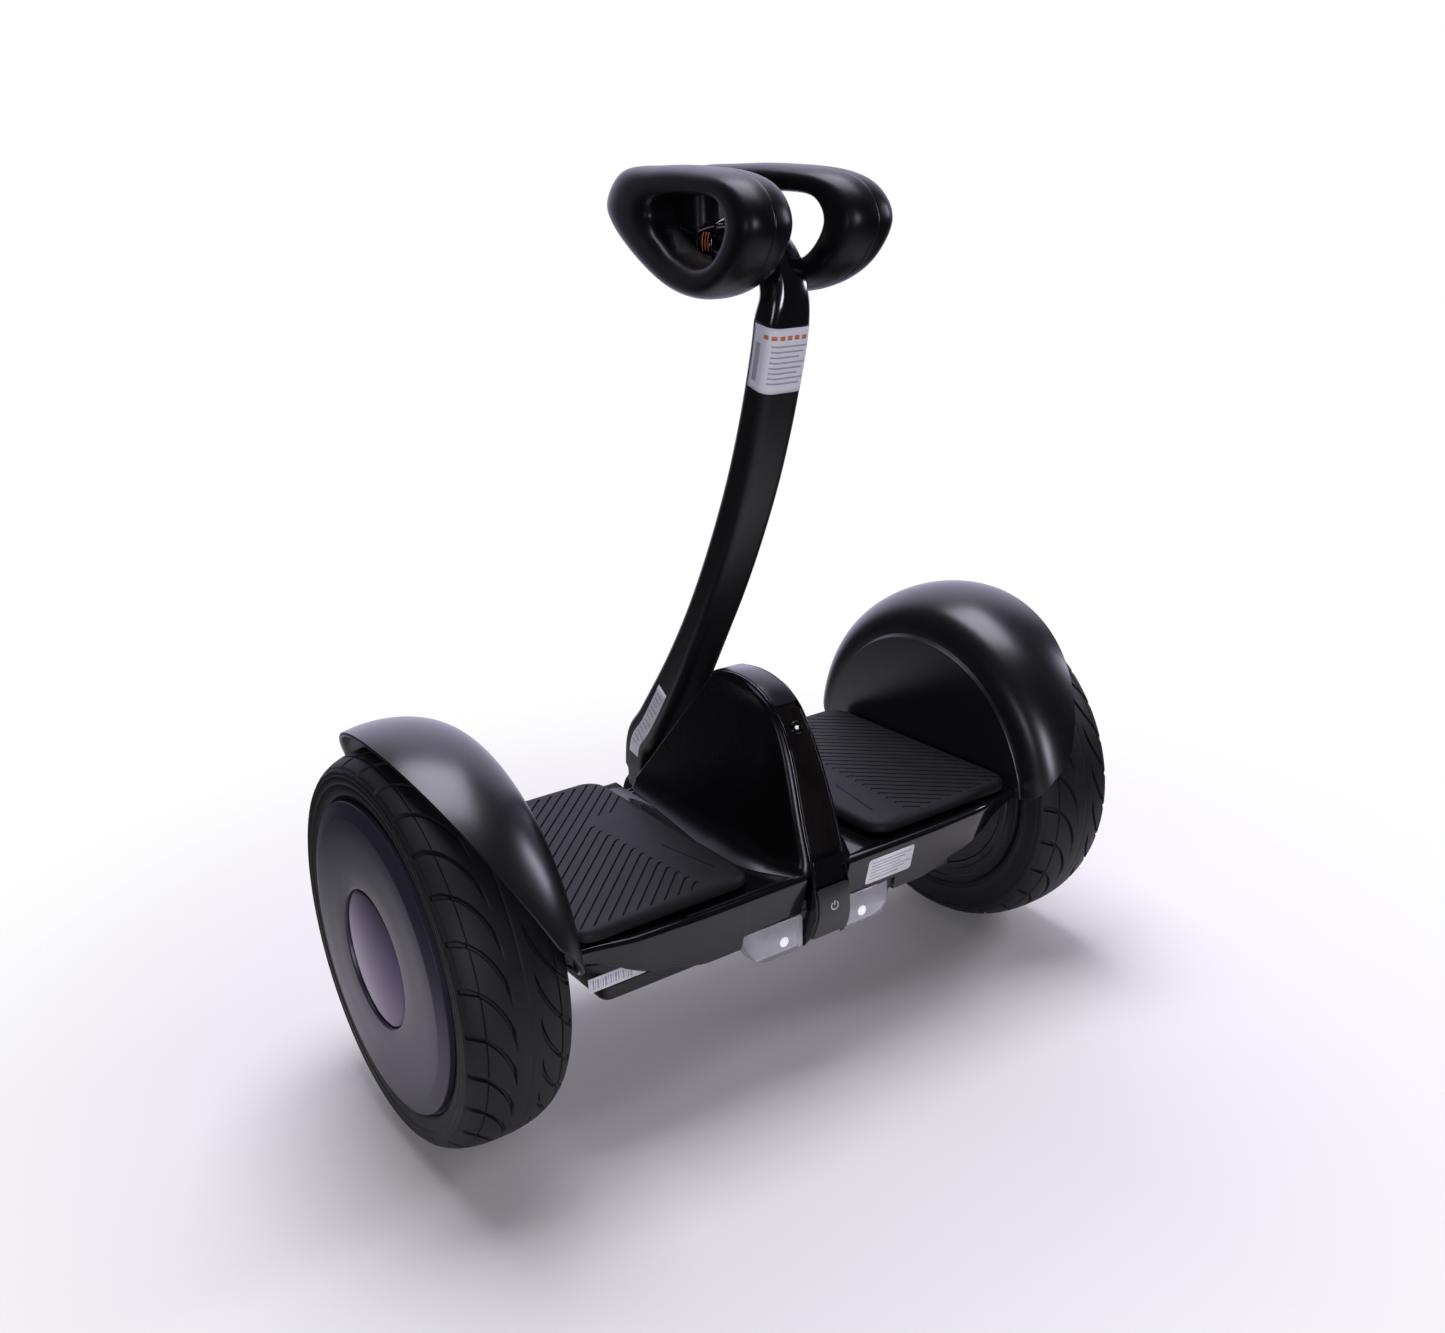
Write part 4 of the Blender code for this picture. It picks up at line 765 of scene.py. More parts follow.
def make_battery(look, steel):
    """Battery case with a parting groove, a recessed floor and four screws."""
    low, high = BATTERY_LOW, BATTERY_HIGH
    rings = []
    for inset, radius, lift in ((16, 8, 1.2), (15, 8, 1.2), (13.5, 8, 0), (4, 5, 0), (1.6, 6.6, 0.9),
                                (0.4, 7.6, 2.4), (0, 8, 4), (0, 8, 11), (0.8, 7.4, 11.6), (0.8, 7.4, 12.6),
                                (0, 8, 13.2), (0, 8, high[2] - low[2])):
        rings.append(level(inset_box(low, high, inset, radius, 8), low[2] + lift))
    loft("battery_case", rings, look, "chassis", nodes=("battery_pack",), slot="battery")
    screws = []
    for x, y in BATTERY_SCREWS:
        screws.append(skin([ring_points((x, y, low[2] + z), r, "Z", 20) for z, r in
                            ((3, 3.2), (0.5, 3.2), (0.2, 2.8), (0.2, 1.5), (1.6, 1.5))]))
    mesh_object("battery_screws", *merged(screws), steel, "chassis", slot="steel")


# ---- hump
def band_face(z, front):
    """How far back the trim band's outer face stands at height z, in front of or behind its crest."""
    path = smooth_curve(BAND_PATH, 8)
    crest = int(np.argmax(path[:, 1]))
    part = path[:crest + 1] if front else path[crest:][::-1]
    return np.interp(z, part[:, 1], part[:, 0])


def hump_outline(z):
    """Plan outline of the centre hump at height z: a slim fin on a flared foot."""
    height = z - HUMP_BASE
    flare = math.exp(-height / 4.2)
    slope = min(87.4, 93.9 - 0.86 * height)
    front = min(slope, band_face(z + 0.7, True)) if z > 258 else slope
    back = band_face(z + 0.7, False) + 0.9
    run = front - back
    rear = band_half_width(z) + 2.6 + 4.0 * flare
    middle = max(33.0 - 0.19 * height, 13.4) + 16.0 * flare
    nose = max(24.7 - 0.118 * height, 11.6) + 4.0 * flare
    near_top = blend(z, 258, HUMP_TOP)
    rear, middle, nose = (w + (10.9 - w) * near_top ** 2 for w in (rear, middle, nose))
    corners = [(nose, front), (-nose, front), (-middle, back + 0.24 * run), (-rear, back), (rear, back),
               (middle, back + 0.24 * run)]
    return filleted(corners, [3.0, 3.0, 40.0, 6.0, 6.0, 40.0], 12)


def make_hump(look):
    """Centre cover, closely ringed where it flares out at its foot and rounds over at its top."""
    heights = [HUMP_BASE, 147.5, 148, 148.6, 149.4, 150.4, 151.6, 153, 155, 157.5, 160.5, 164.5, 169.5, 176,
               184, 192, 200, 208, 216, 223, 230, 236, 241, 245, 248, 251, 254, 256.5, 258.5, 260, 261.2,
               262.2, 263, 263.6, 264.1, HUMP_TOP]
    rings = [level(hump_outline(z), z) for z in heights]
    loft("hump_shell", rings, look, "chassis", nodes=("hump_cover",), slot="matte_plastic", sharp=42)


# ---- band, display and button
def band_half_width(z):
    """Half the trim band's width at height z."""
    return 11.0 + 3.6 * blend(-z, -245, -170) + 2.6 * blend(-z, -125, -92)


def make_band(looks):
    """Glossy band over and down the back of the hump, with the strips that lie in its groove."""
    path = smooth_curve(BAND_PATH, 10)
    sections = []
    for i, (_, z) in enumerate(path):
        half = band_half_width(z)
        deep = 5.0 + 6.5 * blend(-z, -150, -136)
        by_button = blend(i, 117, 120) * (1 - blend(i, 154.5, 157.5))
        groove = half - 1.7 + 0.3 * by_button
        corners = [(-half, -deep), (half, -deep), (half, 0), (groove, 0), (groove, -2.2), (-groove, -2.2),
                   (-groove, 0), (-half, 0)]
        sections.append(filleted(corners, [0.6, 0.6, 1.1, 0.35, 0.2, 0.2, 0.35, 1.1], 4))
    loft("band_frame", swept_rings(path, sections), looks["gloss"], "chassis", nodes=("trim_band",),
         slot="gloss_plastic", sharp=40)
    for name, span, rise, look, node, slot in (
        ("band_top_strip", (2, 22), 0.15, "inlay", "band_inlay_top", "satin_plastic"),
        ("display_glass_strip", (23, 43), -0.1, "window", "display_window", "window"),
        ("band_lower_strip", (44, 46), 0.3, "gloss", "band_inlay_lower", "gloss_plastic"),
    ):
        rings = strip_rings(span, (-1.9, rise), 2.0, 0.5)
        loft(name, rings, looks[look], "chassis", nodes=(node,), slot=slot, sharp=40)
    loft("power_button_plate", strip_rings((49, 61), (-0.4, 1.2), 1.75, 1.6), looks["button"], "power_button",
         nodes=("power_button",), slot="button", sharp=40)


def strip_rings(span, heights, inset, corner):
    """Rings of a strip in the band's groove, between two steps of the CAD's coarser curve."""
    fine = 3
    part = smooth_curve(BAND_PATH, 4 * fine)[span[0] * fine:span[1] * fine + 1]
    low, high = heights
    steps = norm(np.diff(part, axis=0), axis=1)
    along = np.concatenate([[0], np.cumsum(steps)])
    sections = []
    for here, z in zip(along, part[:, 1]):
        near_end = min(here, along[-1] - here)
        shrink = corner - math.sqrt(max(corner ** 2 - max(corner - near_end, 0) ** 2, 0))
        half = band_half_width(z) - inset - shrink
        corners = [(-half, low), (half, low), (half, high), (-half, high)]
        sections.append(filleted(corners, [0.2, 0.2, 0.5, 0.5], 4))
    return swept_rings(part, sections)


def band_place(step, lift):
    """Middle point and outward normal on the band's outer face at a fine curve step."""
    path = smooth_curve(BAND_PATH, 12)
    y, z = path[step]
    ny, nz = path_normals(path)[step]
    return np.array([0, y + ny * lift, z + nz * lift]), np.array([0, ny, nz])


def on_plane(centre, normal, outline, lift):
    """Flat outline of (across, along) laid at a place on the band, seen from outside."""
    across = np.array([1, 0, 0])
    along = np.array([0, -normal[2], normal[1]])
    a, b = np.asarray(outline, float).T[:, :, None]
    return centre + normal * lift + across * a - along * b


def make_indicator(looks):
    """Round lens with a dark bezel on the upper end of the display window."""
    centre, normal = band_place(INDICATOR_STEP, 0.0)
    turn = np.linspace(0, 2 * math.pi, 40, endpoint=False)
    circle = np.column_stack([np.cos(turn), np.sin(turn)])
    bezel = [on_plane(centre, normal, circle * r, h) for r, h in
             ((4.3, -0.2), (4.3, 0.35), (4.0, 0.6), (1.8, 0.6), (1.4, 0.3), (1.4, -0.2))]
    loft("indicator_bezel", bezel, looks["gloss"], "chassis", closed=True, slot="gloss_plastic")
    lens = [on_plane(centre, normal, circle * r, h) for r, h in
            ((1.25, -0.2), (1.25, 0.4), (1.1, 0.6), (0.7, 0.75), (0.3, 0.8))]
    loft("indicator_led", lens, looks["led"], "chassis", nodes=("indicator_lens",), slot="lamp")


def make_power_icon(looks):
    """A ring with a gap at its top, and a bar in the gap."""
    centre, normal = band_place(ICON_STEP, 1.22)
    steps = 36
    turn = np.radians(np.linspace(35, 325, steps)) + math.pi / 2
    circle = np.column_stack([np.cos(turn), np.sin(turn)])
    bar = [(-0.42, 0.3), (0.42, 0.3), (0.42, 3.6), (-0.42, 3.6)]
    outline = np.concatenate([circle * 2.5, circle * 3.3, bar])
    faces = grid_faces(2, steps, closed_columns=False) + [list(range(2 * steps, 2 * steps + 4))]
    mesh_object("power_icon", on_plane(centre, normal, outline, 0.05), faces, looks["icon"], "power_button",
                slot="button", thick=0.08)


# ---- lamps and charging port
def make_lamps(looks):
    """Tail lamps beside the band, and the headlamp, each with its round emitters."""
    for label, side in SIDES:
        stations = [(18.6, 91.8, -108.0), (19.2, 91.8, -108.0), (30, 91.8, -107.9), (40, 91.8, -107.7),
                    (48, 91.9, -107.4), (52, 92.6, -107.1), (56, 94.4, -106.4), (59, 97.4, -105.2),
                    (61.5, 101.4, -103.6), (63.3, 105.6, -102.2)]
        rings = []
        for x, low, back in stations:
            corners = [(back, 117.0), (back, low + 1), (back + 1.4, low), (-96.2, low), (-96.2, 117.0)]
            rings.append(upright(side * x, filleted(corners, [0.5, 2.0, 2.0, 0.6, 0.6], 5)))
        loft("tail_lamp_lens_" + label, rings, looks["lamp"], "chassis", nodes=("tail_lamp_" + label,),
             slot="lamp", sharp=40)
        profile = [(-107.9, 3.6), (-108.25, 3.4), (-108.4, 2.2), (-108.45, 1.0)]
        rings = circles_along_y(side * TAIL_LED_X, TAIL_LED_HEIGHT, profile)
        loft("tail_lamp_led_" + label, rings, looks["led"], "chassis", slot="lamp")
    low, high = LENS_LOW, LENS_HIGH
    rings = []
    for inset, y in ((0, low[1]), (0, high[1] - 1.2), (1.4, high[1])):
        x, z = inset_box(low, high, inset, 3.8 if inset else 5, 8, up=2).T
        rings.append(np.stack([x, np.full(len(x), y), z], -1))
    loft("headlamp_glass", rings, looks["lamp"], "chassis", nodes=("headlamp_lens",), slot="lamp", sharp=30)
    profile = [(high[1] + y, r) for y, r in ((-0.2, 5.2), (0.1, 5.2), (0.25, 4.6), (0.3, 2.0))]
    for label, side in SIDES:
        rings = circles_along_y(side * HEAD_LED_X, (low[2] + high[2]) / 2, profile)
        loft("headlamp_led_" + label, rings, looks["led"], "chassis", slot="lamp")


def make_port_cap(looks):
    """Rubber flap over the charging inlet, with a shallow recess inside its rim."""
    low, high = CAP_DOOR_LOW, CAP_DOOR_HIGH
    low_edge = fascia_bottom(PORT_X)
    tuck = FRONT_TUCK * (RIDGE_TOP - low_edge)
    rings = []
    for inset, lift in ((0, 0.4), (0, 1.9), (0.5, 2.6), (1.4, 2.9), (4.5, 2.9), (5.2, 2.4), (6.0, 2.4)):
        x, z = inset_box(low, high, inset, max(5 - inset, 1.5), 8, up=2).T
        face = FRONT_RIDGE - tuck * (1 - (z - low_edge) / (RIDGE_TOP - 3 - low_edge))
        rings.append(np.stack([x, face + lift, z], -1))
    loft("charge_port_flap", rings, looks["valve"], "charge_port_cap", nodes=("charge_port_cap",),
         slot="soft_rubber", sharp=45)


# ---- foot mats
def mat_grooves():
    """Each groove of a mat as its centre line (X towards the wheel, y), width and depth."""
    lines = []
    diagonal = 1 / math.sqrt(2)
    for k in range(-12, 13):
        total = GROOVE_FIRST - GROOVE_PITCH * k
        if k < 0:
            start = (total - 90.0, 90.0)
            end = (178.5, total - 178.5)
            if end[0] - start[0] > 6:
                lines.append([start, end])
            continue
        start_y = (total - 97.3) / 1.078
        start_x = total - start_y
        end_x = min(178.0, total + 97.0)
        if end_x - start_x < 3:
            continue
        hook = (start_x - 2.2 * diagonal - 0.6, start_y - 2.2 * diagonal + 0.6)
        lines.append([hook, (start_x - 0.5, start_y - 0.2), (start_x + 0.9, start_y - 0.9),
                      (end_x, total - end_x)])
        if k < 2:
            short = max(total - 88, 64) + 22 - 9 * k
            lines.append([(total - 88, 88.0), (short, total - short)])
    grooves = [(line, 1.7, 1.3) for line in lines]
    grooves.append(([(77, -30), (68.5, -80)], 0.9, 0.6))
    return grooves


def groove_rings(line, side, top, width, depth):
    """Rings of a U-shaped prism along a line, from below the mat's face to above it."""
    points = np.array(line, float)
    half = width / 2
    shape = [(-half, 1.0), (-half * 0.8, -depth), (half * 0.8, -depth), (half, 1.0)]
    return [[(side * (x - dy * a), y + dx * a, top + h) for a, h in shape]
            for (x, y), (dx, dy) in zip(points, travel(points))]


def make_mat(label, side, look):
    """Rubber foot mat with a soft edge and fine slanting grooves cut into it."""
    low, high = mm_box("foot_mat_" + label)
    body = label + "_foot_mat"
    top = high[2]
    soft = 6.0
    steps = [(8, low[2] + 0.3), (3, low[2]), (1.2, low[2] + 0.1), (0.3, low[2] + 0.8), (0.1, low[2] + 1.6)]
    for turn in np.radians([15, 30, 45, 60, 75, 90]):
        steps.append((0.2 + soft * (1 - math.cos(turn)), top - soft * 0.95 * (1 - math.sin(turn))))
    rings = [level(inset_box(low, high, inset, MAT_CORNER - inset, 10), z) for inset, z in steps]
    mat = loft("mat_" + label, rings, look, body, nodes=("foot_mat_" + label,), slot="mat", sharp=38)
    grooves = merged(skin(groove_rings(line, side, top, width, depth))
                     for line, width, depth in mat_grooves())
    cutter = mesh_object("groove_cutter", *grooves, look, body)
    cut = mat.modifiers.new("grooves", "BOOLEAN")
    cut.operation = "DIFFERENCE"
    cut.solver = "EXACT"
    cut.object = cutter
    graph = bpy.context.evaluated_depsgraph_get()
    data = bpy.data.meshes.new_from_object(mat.evaluated_get(graph))
    mat.modifiers.clear()
    mat.data = data
    bpy.data.objects.remove(cutter)
    data.set_sharp_from_angle(angle=math.radians(38))


# ---- steering bar
def post_curve():
    """The post's middle line (y, z), upright in its socket."""
    path = smooth_curve(POST_PATH, 10)
    path[:, 0] = np.where(path[:, 1] < 152, POST_PATH[0][0], path[:, 0])
    return path


def post_outline(z):
    """The post's section at height z, a rounded rectangle."""
    depth = POST_FOOT_DEPTH + (POST_HALF_DEPTH - POST_FOOT_DEPTH) * blend(z, 190, 300)
    if z < 153:
        depth = POST_HALF_DEPTH
    return rounded(-POST_HALF_WIDTH, POST_HALF_WIDTH, -depth, depth, POST_CORNER, 10)


def make_post(looks):
    """Post, gooseneck, collar with its stripes, spine and foot."""
    body = "steering_bar"
    path = post_curve()
    sections = [post_outline(z) for z in path[:, 1]]
    loft("post_tube", swept_rings(path, sections), looks["post"], body, nodes=("steering_post",), slot="post",
         sharp=40)
    neck = smooth_curve(NECK_PATH, 10)
    square = post_outline(POST_PATH[-1][1])
    circle = square * (NECK_RADIUS / norm(square, axis=1))[:, None]
    sections = [square + (circle - square) * blend(i, 0, 16) for i in range(len(neck))]
    loft("neck_tube", swept_rings(neck, sections), looks["neck"], body, nodes=("gooseneck",),
         slot="gloss_plastic", sharp=40)
    rear, front = COLLAR_LOW[1], COLLAR_HIGH[1]
    middle = (COLLAR_LOW[2] + COLLAR_HIGH[2]) / 2
    profile = shifted(rear, 0, [(0, 13.6), (0.5, 14.6), (1.4, 15.2)])
    profile += shifted(front, 0, [(-1.4, 15.2), (-0.5, 14.8), (0, 14)])
    loft("neck_ring", circles_along_y(0, middle, profile, 48), looks["gloss"], body, nodes=("neck_collar",),
         slot="gloss_plastic")
    for i in range(3):
        y = rear + 3.2 + 3.0 * i
        tube_patch("neck_stripe_%d" % i, (y - 0.55, y + 0.55), (152, 196), STRIPE_RADIUS, middle,
                   looks["orange"])
    tube_patch("neck_line", (-38.0, -26.2), (196, 201), NECK_RADIUS + 0.08, middle, looks["steel"])
    make_spine(looks["pad"], body)
    profile = shifted(FOOT_LOW[1], 0, [(0, 8), (0, 16.4), (0.5, 17.3), (1.4, 18)])
    profile += [(96, 18), (96.6, 17.4), (97.6, 17.4), (98.2, 18)]
    profile += shifted(FOOT_HIGH[1], 0, [(-2.4, 18), (-1, 17.5), (-0.2, 16.4), (0, 15), (0, 7), (-0.8, 6)])
    loft("foot_socket", circles_along_y(0, STEERING_AXIS_HEIGHT, profile, 56), looks["neck"], body,
         nodes=("steering_foot",), slot="post")


def tube_patch(name, span, turns, radius, middle, look):
    """A thin curved plate on a tube that runs along Y; turns are degrees from +X towards +Z."""
    around = np.radians(np.linspace(turns[0], turns[1], 24))
    verts = [(radius * math.cos(a), y, middle + radius * math.sin(a)) for y in span for a in around]
    faces = grid_faces(2, 24, closed_columns=False)
    mesh_object(name, verts, faces, look, "steering_bar", slot="gloss_plastic", thick=0.1)


def make_spine(look, body):
    """Block that joins both pads, with a groove round its middle and a floor that rises forward."""
    low, high = SPINE_LOW, SPINE_HIGH
    rings = []
    for z, inset in ((low[2], 3.4), (low[2] + 0.9, 1.5), (low[2] + 3, 0.4), (low[2] + 6, 0.0), (551, 0.0),
                     (551.6, 0.7), (554.4, 0.7), (555, 0.0), (high[2] - 6, 0.0), (high[2] - 3, 0.4),
                     (high[2] - 0.9, 1.5), (high[2], 3.4)):
        outline = inset_box(low, high, inset, 9 - inset, 10)
        floor = low[2] + 28.0 * np.clip(outline[:, 1] / 60, 0, 1)
        height = floor + (z - low[2]) * (high[2] - floor) / (high[2] - low[2])
        rings.append(np.column_stack([outline, height]))
    loft("pad_bridge", rings, look, body, nodes=("pad_spine",), slot="matte_plastic")


def post_sheet(low, high, start, end, lift, rows=14, columns=28):
    """A sheet laid on the post between two heights and two shares of its outline."""
    path = post_curve()
    z = np.linspace(low, high, rows)
    line = np.column_stack([np.interp(z, path[:, 1], path[:, 0]), z])
    verts = []
    for (cy, cz), (ny, nz) in zip(line, path_normals(line)):
        outline = post_outline(cz)
        around = resample(np.concatenate([outline, outline[:1]]), 401)[:-1]
        away = path_normals(np.concatenate([around[-1:], around, around[:1]]))[1:-1]
        for k in (np.linspace(start, end, columns) * 400).astype(int) % 400:
            x, h = around[k] + away[k] * lift
            verts.append((x, cy + ny * h, cz + nz * h))
    return verts, grid_faces(rows, columns, closed_columns=False)


# ---- knee pads
def make_pad(label, side, look):
    """Moulded ring: a blunt triangle seen from the side, with a hole through it and a part line."""
    outer = smooth_curve(PAD_OUTER, 12, closed=True)
    hole = smooth_curve(PAD_HOLE, 12, closed=True)
    turns = [*np.linspace(0, 360, 60, endpoint=False), 0.8, 2.2, 357.8, 359.2]
    turns = np.radians(sorted(turns))
    c = np.cos(turns)
    s = np.sin(turns)
    outside = c > 0
    seam = np.where(np.abs(s) < 0.001, 0.55, 0.0) * outside
    across = np.sign(s) * np.where(outside, np.abs(s) ** 0.85, np.abs(s) ** 0.5)
    along = 0.5 + 0.5 * np.sign(c) * np.where(outside, np.abs(c) ** 0.85, np.abs(c) ** 0.5)
    rings = []
    for o, h in zip(outer, hole):
        width = norm(o - h)
        line = h + (o - h) * (along - seam / width)[:, None]
        forward = (line[:, 0] - PAD_REAR_Y) / (PAD_FRONT_Y - PAD_REAR_Y)
        middle = PAD_REAR_SPREAD + (PAD_FRONT_SPREAD - PAD_REAR_SPREAD) * forward
        thick = PAD_REAR_THICKNESS + (PAD_FRONT_THICKNESS - PAD_REAR_THICKNESS) * forward
        rings.append(np.column_stack([side * (middle + thick * across), line]))
    pad = loft("pad_" + label, rings, look, "steering_bar", closed=True, nodes=("knee_pad_" + label,),
               slot="pad", sharp=60)


# ---- labels
PAPER_LIFT = 0.15
PRINT_LIFT = 0.24


def fascia_sheet(x0, x1, z0, z1, lift, radius=0.0):
    """A flat sheet on the rear fascia."""
    outline = rounded(x0, x1, z0, z1, radius, 6) if radius else ((x0, z0), (x1, z0), (x1, z1), (x0, z1))
    return [(x, rear_face(x, z) - lift, z) for x, z in outline], [list(range(len(outline)))]


def printed(name, sheets, look, **how):
    """Thin sheets kept as one object. Each is faced on its own first, so their order doesn't matter."""
    pieces = [mesh_object("sheet", *sheet, look, **how) for sheet in sheets]
    faced = [([tuple(v.co / MM) for v in piece.data.vertices],
              [list(face.vertices) for face in piece.data.polygons]) for piece in pieces]
    for piece in pieces:
        bpy.data.objects.remove(piece)
    return mesh_object(name, *merged(faced), look, **how)


def make_labels(looks):
    """Blank plates with generic bars in place of any printing."""
    paper, ink = looks["label"], looks["print"]
    on_post = {"body": "steering_bar", "slot": "post", "thick": 0.08}
    thirds = [i % 3 for i in range(12)]
    mesh_object("post_label", *post_sheet(461, 499.6, 0.40, 0.86, PAPER_LIFT), paper, **on_post)
    dashes = [post_sheet(492.6, 495.0, 0.50 + 0.055 * i, 0.535 + 0.055 * i, PRINT_LIFT, 3) for i in range(6)]
    printed("post_label_header", dashes, looks["header"], **on_post)
    bars = [post_sheet(488.5 - 3.1 * i, 489.5 - 3.1 * i, 0.56, 0.83 - 0.03 * thirds[i], PRINT_LIFT, 3)
            for i in range(8)]
    bars.append(post_sheet(466, 489, 0.43, 0.475, PRINT_LIFT, 6))
    printed("post_label_bars", bars, ink, **on_post)
    mesh_object("post_lower_label", *post_sheet(168, 232, 0.385, 0.49, PAPER_LIFT), paper, **on_post)
    bars = [post_sheet(225 - 4.2 * i, 226.2 - 4.2 * i, 0.40, 0.475 - 0.01 * thirds[i], PRINT_LIFT, 2)
            for i in range(12)]
    printed("post_lower_bars", bars, ink, **on_post)
    on_deck = {"body": "chassis", "slot": "satin_plastic"}
    plate = fascia_sheet(37.0, 78.6, 121.0, 141.5, PAPER_LIFT, 2.2)
    mesh_object("rear_label", *plate, paper, thick=0.1, **on_deck)
    bars = [fascia_sheet(40, 76 - 4.5 * thirds[i], 137.55 - 2.7 * i, 138.45 - 2.7 * i, 0.28)
            for i in range(6)]
    printed("rear_label_bars", bars, ink, thick=0.08, **on_deck)
    on_shell = {"body": "chassis", "slot": "matte_plastic"}
    y = SHELL_LOW[1] - 0.12
    mesh_object("side_label", *side_sheet(-172, -130, 107.5, 117.5, y), paper, thick=0.06, **on_shell)
    bars = []
    x = -169.0
    for width in (BAR_WIDTHS * 2)[:16]:
        bars.append(side_sheet(x, x + width, 109.5, 115.5, y - 0.1))
        x += width + 0.9
    printed("side_label_bars", bars, ink, thick=0.08, **on_shell)


def side_sheet(x0, x1, z0, z1, y):
    """A flat sheet on the underbody's rear side."""
    return [(x0, y, z0), (x1, y, z0), (x1, y, z1), (x0, y, z1)], [[0, 1, 2, 3]]


# ---- kept CAD nodes
def finish_kept_nodes(looks):
    """Better finishes for the CAD nodes that stay as they are."""
    kept = {"chassis_frame": "cast", "charge_port": "steel", "steering_shaft": "steel",
            "steering_housing": "cast", "steering_bush": "bush", "centring_spring": "steel",
            "control_board": "board"}
    paired = {"rotor_magnets": "magnet", "bearing_inner": "steel", "bearing_outer": "steel", "axle": "steel",
              "stator": "copper", "motor_cover_outer": "cover", "tyre_valve": "valve", "axle_clamp": "cast",
              "foot_sensor": "board"}
    for label, _ in SIDES:
        kept.update({stem + "_" + label: look for stem, look in paired.items()})
    for node, look in kept.items():
        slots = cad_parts[node].data.materials
        slots.clear()
        slots.append(looks[look])


# ---- stage
FLOOR_FADE = (0.32, 0.72)             # metres from the middle where the floor starts and ends fading
FLOOR_RADIUS = 2
FLOOR_HEIGHT = -0.0004
WALL_DIRECTION = (0.55, 0.80, 0.24)
WALL_EDGE = (0.58, 0.94)              # how straight on the wall is where its light fades in
WALL_LIGHT = 1.5
ROOM_LIGHT = 0.04
COOL = (0.84, 0.80, 1.0)
PALE = (0.88, 0.85, 1.0)
CAMERA_PLACE = (-0.5348, -0.7621, 0.5779)
CAMERA_TURN = (-35.057, 18.812, -2.112)     # azimuth, elevation and roll in degrees
CAMERA_LENS = 35.01


def make_floor():
    """Pale floor that fades away into the white surroundings."""
    made, tree, shader, place = new_material("pale_floor")
    shader.inputs["Roughness"].default_value = 0.9
    shader.inputs["Base Color"].default_value = (0.95, 0.95, 0.86, 1)
    length = tree.nodes.new("ShaderNodeVectorMath")
    length.operation = "LENGTH"
    tree.links.new(place.outputs["Object"], length.inputs[0])
    away = mapped(tree, length.outputs["Value"], smooth=True, From_Min=FLOOR_FADE[0], From_Max=FLOOR_FADE[1])
    clear = tree.nodes.new("ShaderNodeBsdfTransparent")
    mix_surface(tree, "Material Output", away, shader.outputs["BSDF"], clear.outputs["BSDF"])
    bpy.ops.mesh.primitive_circle_add(vertices=96, radius=FLOOR_RADIUS, fill_type="NGON",
                                     location=(0, 0, FLOOR_HEIGHT))
    floor = bpy.context.object
    floor.name = "floor"
    floor.data.materials.append(made)


def area_light(name, place, target, size, power, colour):
    """A rectangular lamp at place that faces target."""
    data = bpy.data.lights.new(name, "AREA")
    data.shape = "RECTANGLE"
    data.size, data.size_y = size
    data.energy = power
    data.color = colour
    lamp = bpy.data.objects.new(name, data)
    lamp.location = place
    lamp.rotation_euler = (Vector(target) - Vector(place)).to_track_quat("-Z", "Y").to_euler()
    bpy.context.collection.objects.link(lamp)


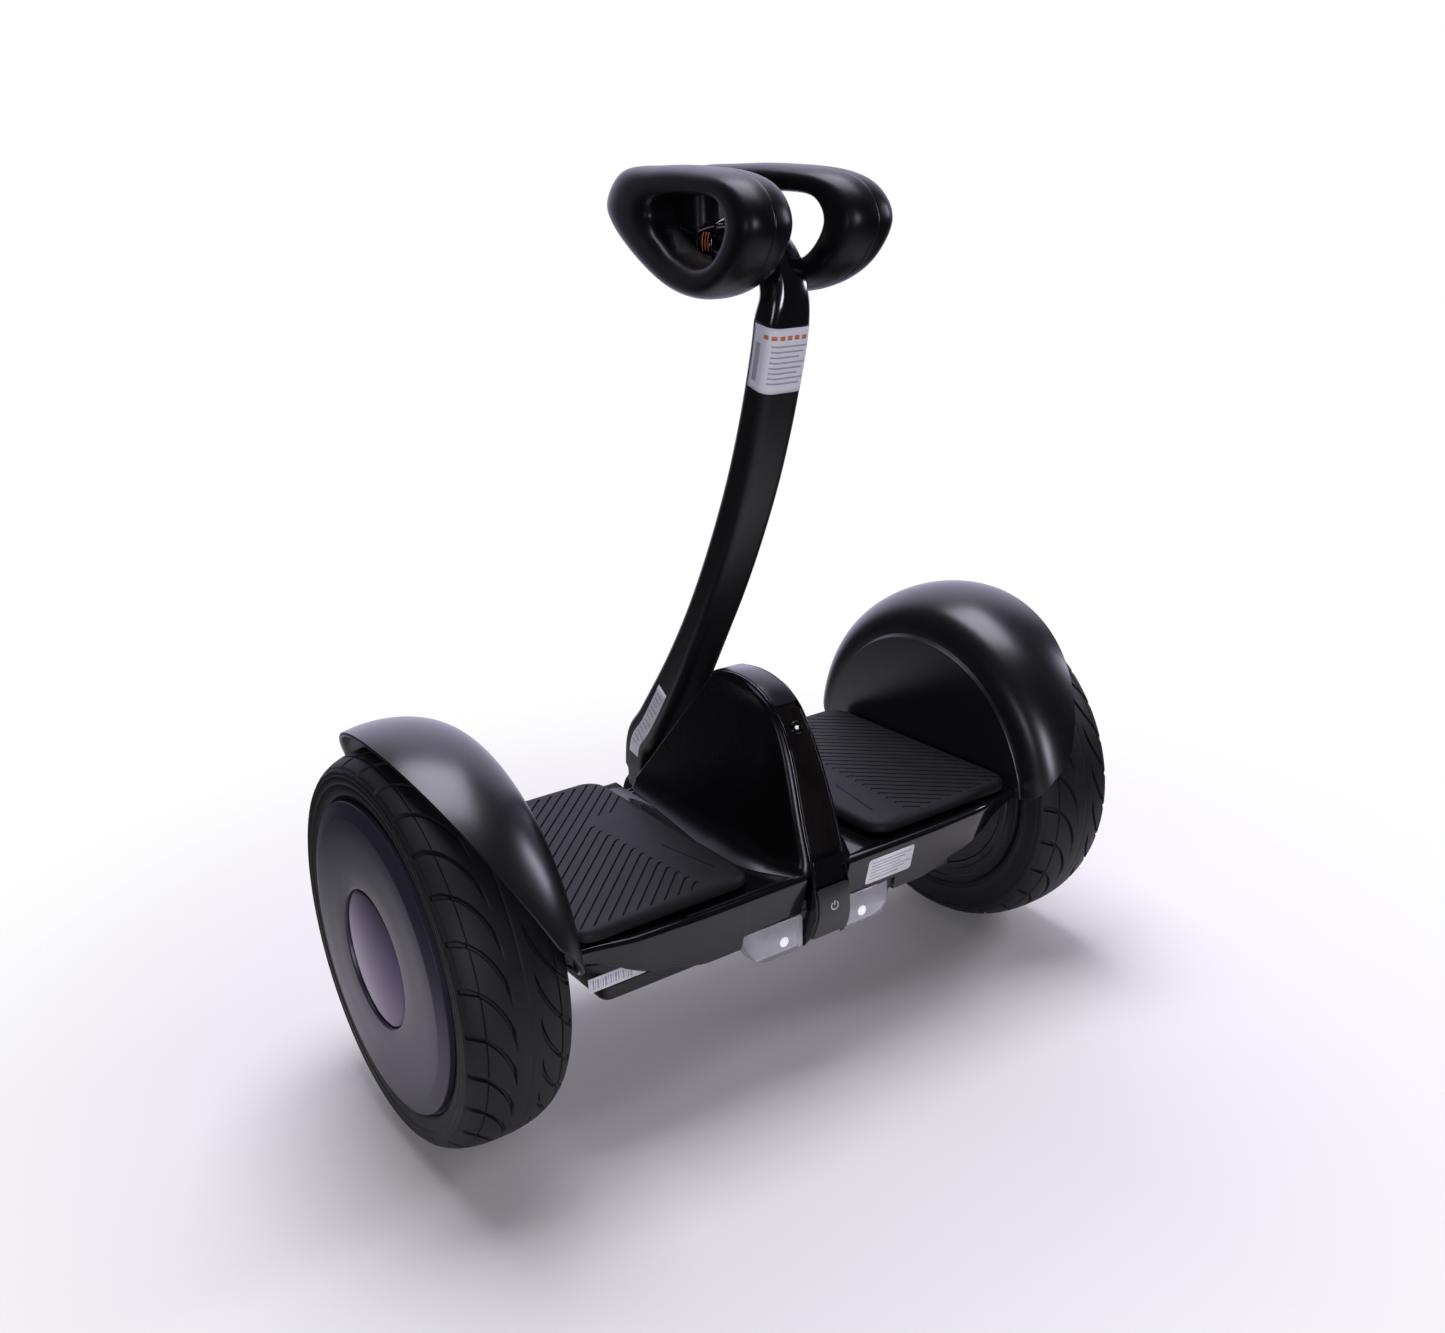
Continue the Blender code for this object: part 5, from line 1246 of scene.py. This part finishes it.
def make_world():
    """White to the camera; to all else a dim room with a bright wall ahead and to the right."""
    world = bpy.data.worlds.new("studio")
    bpy.context.scene.world = world
    world.use_nodes = True
    tree = world.node_tree
    ground = tree.nodes["Background"]
    ground.inputs["Color"].default_value = (1, 1, 1, 1)
    ground.inputs["Strength"].default_value = 1.0
    room = tree.nodes.new("ShaderNodeBackground")
    room.inputs["Color"].default_value = (0.80, 0.75, 1.0, 1)
    place = tree.nodes.new("ShaderNodeTexCoord")
    facing = tree.nodes.new("ShaderNodeVectorMath")
    facing.operation = "DOT_PRODUCT"
    facing.inputs[1].default_value = WALL_DIRECTION
    tree.links.new(place.outputs["Generated"], facing.inputs[0])
    glow = mapped(tree, facing.outputs["Value"], smooth=True, From_Min=WALL_EDGE[0], From_Max=WALL_EDGE[1],
                  To_Min=ROOM_LIGHT, To_Max=WALL_LIGHT)
    tree.links.new(glow, room.inputs["Strength"])
    rays = tree.nodes.new("ShaderNodeLightPath")
    mix_surface(tree, "World Output", rays.outputs["Is Camera Ray"], room.outputs["Background"],
                ground.outputs["Background"])


def make_camera():
    """Camera that looks down at the object from behind and to its left."""
    azimuth, elevation, roll = (math.radians(v) for v in CAMERA_TURN)
    back = Vector((math.sin(azimuth) * math.cos(elevation), -math.cos(azimuth) * math.cos(elevation),
                   math.sin(elevation)))
    flat = Vector((math.cos(azimuth), math.sin(azimuth), 0))
    above = back.cross(flat)
    right = math.cos(roll) * flat + math.sin(roll) * above
    up = -math.sin(roll) * flat + math.cos(roll) * above
    data = bpy.data.cameras.new("camera")
    data.lens = CAMERA_LENS
    data.sensor_width = 36.0
    data.clip_start = 0.02
    camera = bpy.data.objects.new("camera", data)
    place = Matrix((right, up, back)).transposed().to_4x4()
    place.translation = Vector(CAMERA_PLACE)
    camera.matrix_world = place
    bpy.context.collection.objects.link(camera)
    bpy.context.scene.camera = camera


def make_stage():
    """Floor, surroundings, lamps and camera."""
    make_floor()
    make_world()
    area_light("left_softbox", (-1.8, -0.4, 0.45), (0, 0, 0.25), (0.35, 0.4), 2.4, COOL)
    area_light("top_softbox", (0.1, 0.3, 2.0), (0, 0, 0.2), (1.2, 1.2), 33, PALE)
    area_light("right_softbox", (1.7, -0.6, 1.0), (0.1, 0, 0.2), (0.3, 0.8), 10, COOL)
    area_light("camera_strip", (-1.0, -1.75, 0.60), (0, 0, 0.4), (0.42, 0.8), 15, PALE)
    make_camera()
    bpy.context.scene.view_settings.view_transform = "Standard"


# ---- assembly
def main():
    """Make every piece, then the stage."""
    looks = make_looks()
    for label, side in SIDES:
        make_wheel(label, side, looks)
        make_fender(label, side, looks["fender"])
        make_mat(label, side, looks["mat"])
        make_pad(label, side, looks["pad"])
    make_deck(looks["fascia"])
    make_underbody(looks["shell"])
    make_battery(looks["battery"], looks["steel"])
    make_hump(looks["hump"])
    make_band(looks)
    make_indicator(looks)
    make_power_icon(looks)
    make_lamps(looks)
    make_port_cap(looks)
    make_post(looks)
    make_labels(looks)
    finish_kept_nodes(looks)
    make_stage()


main()
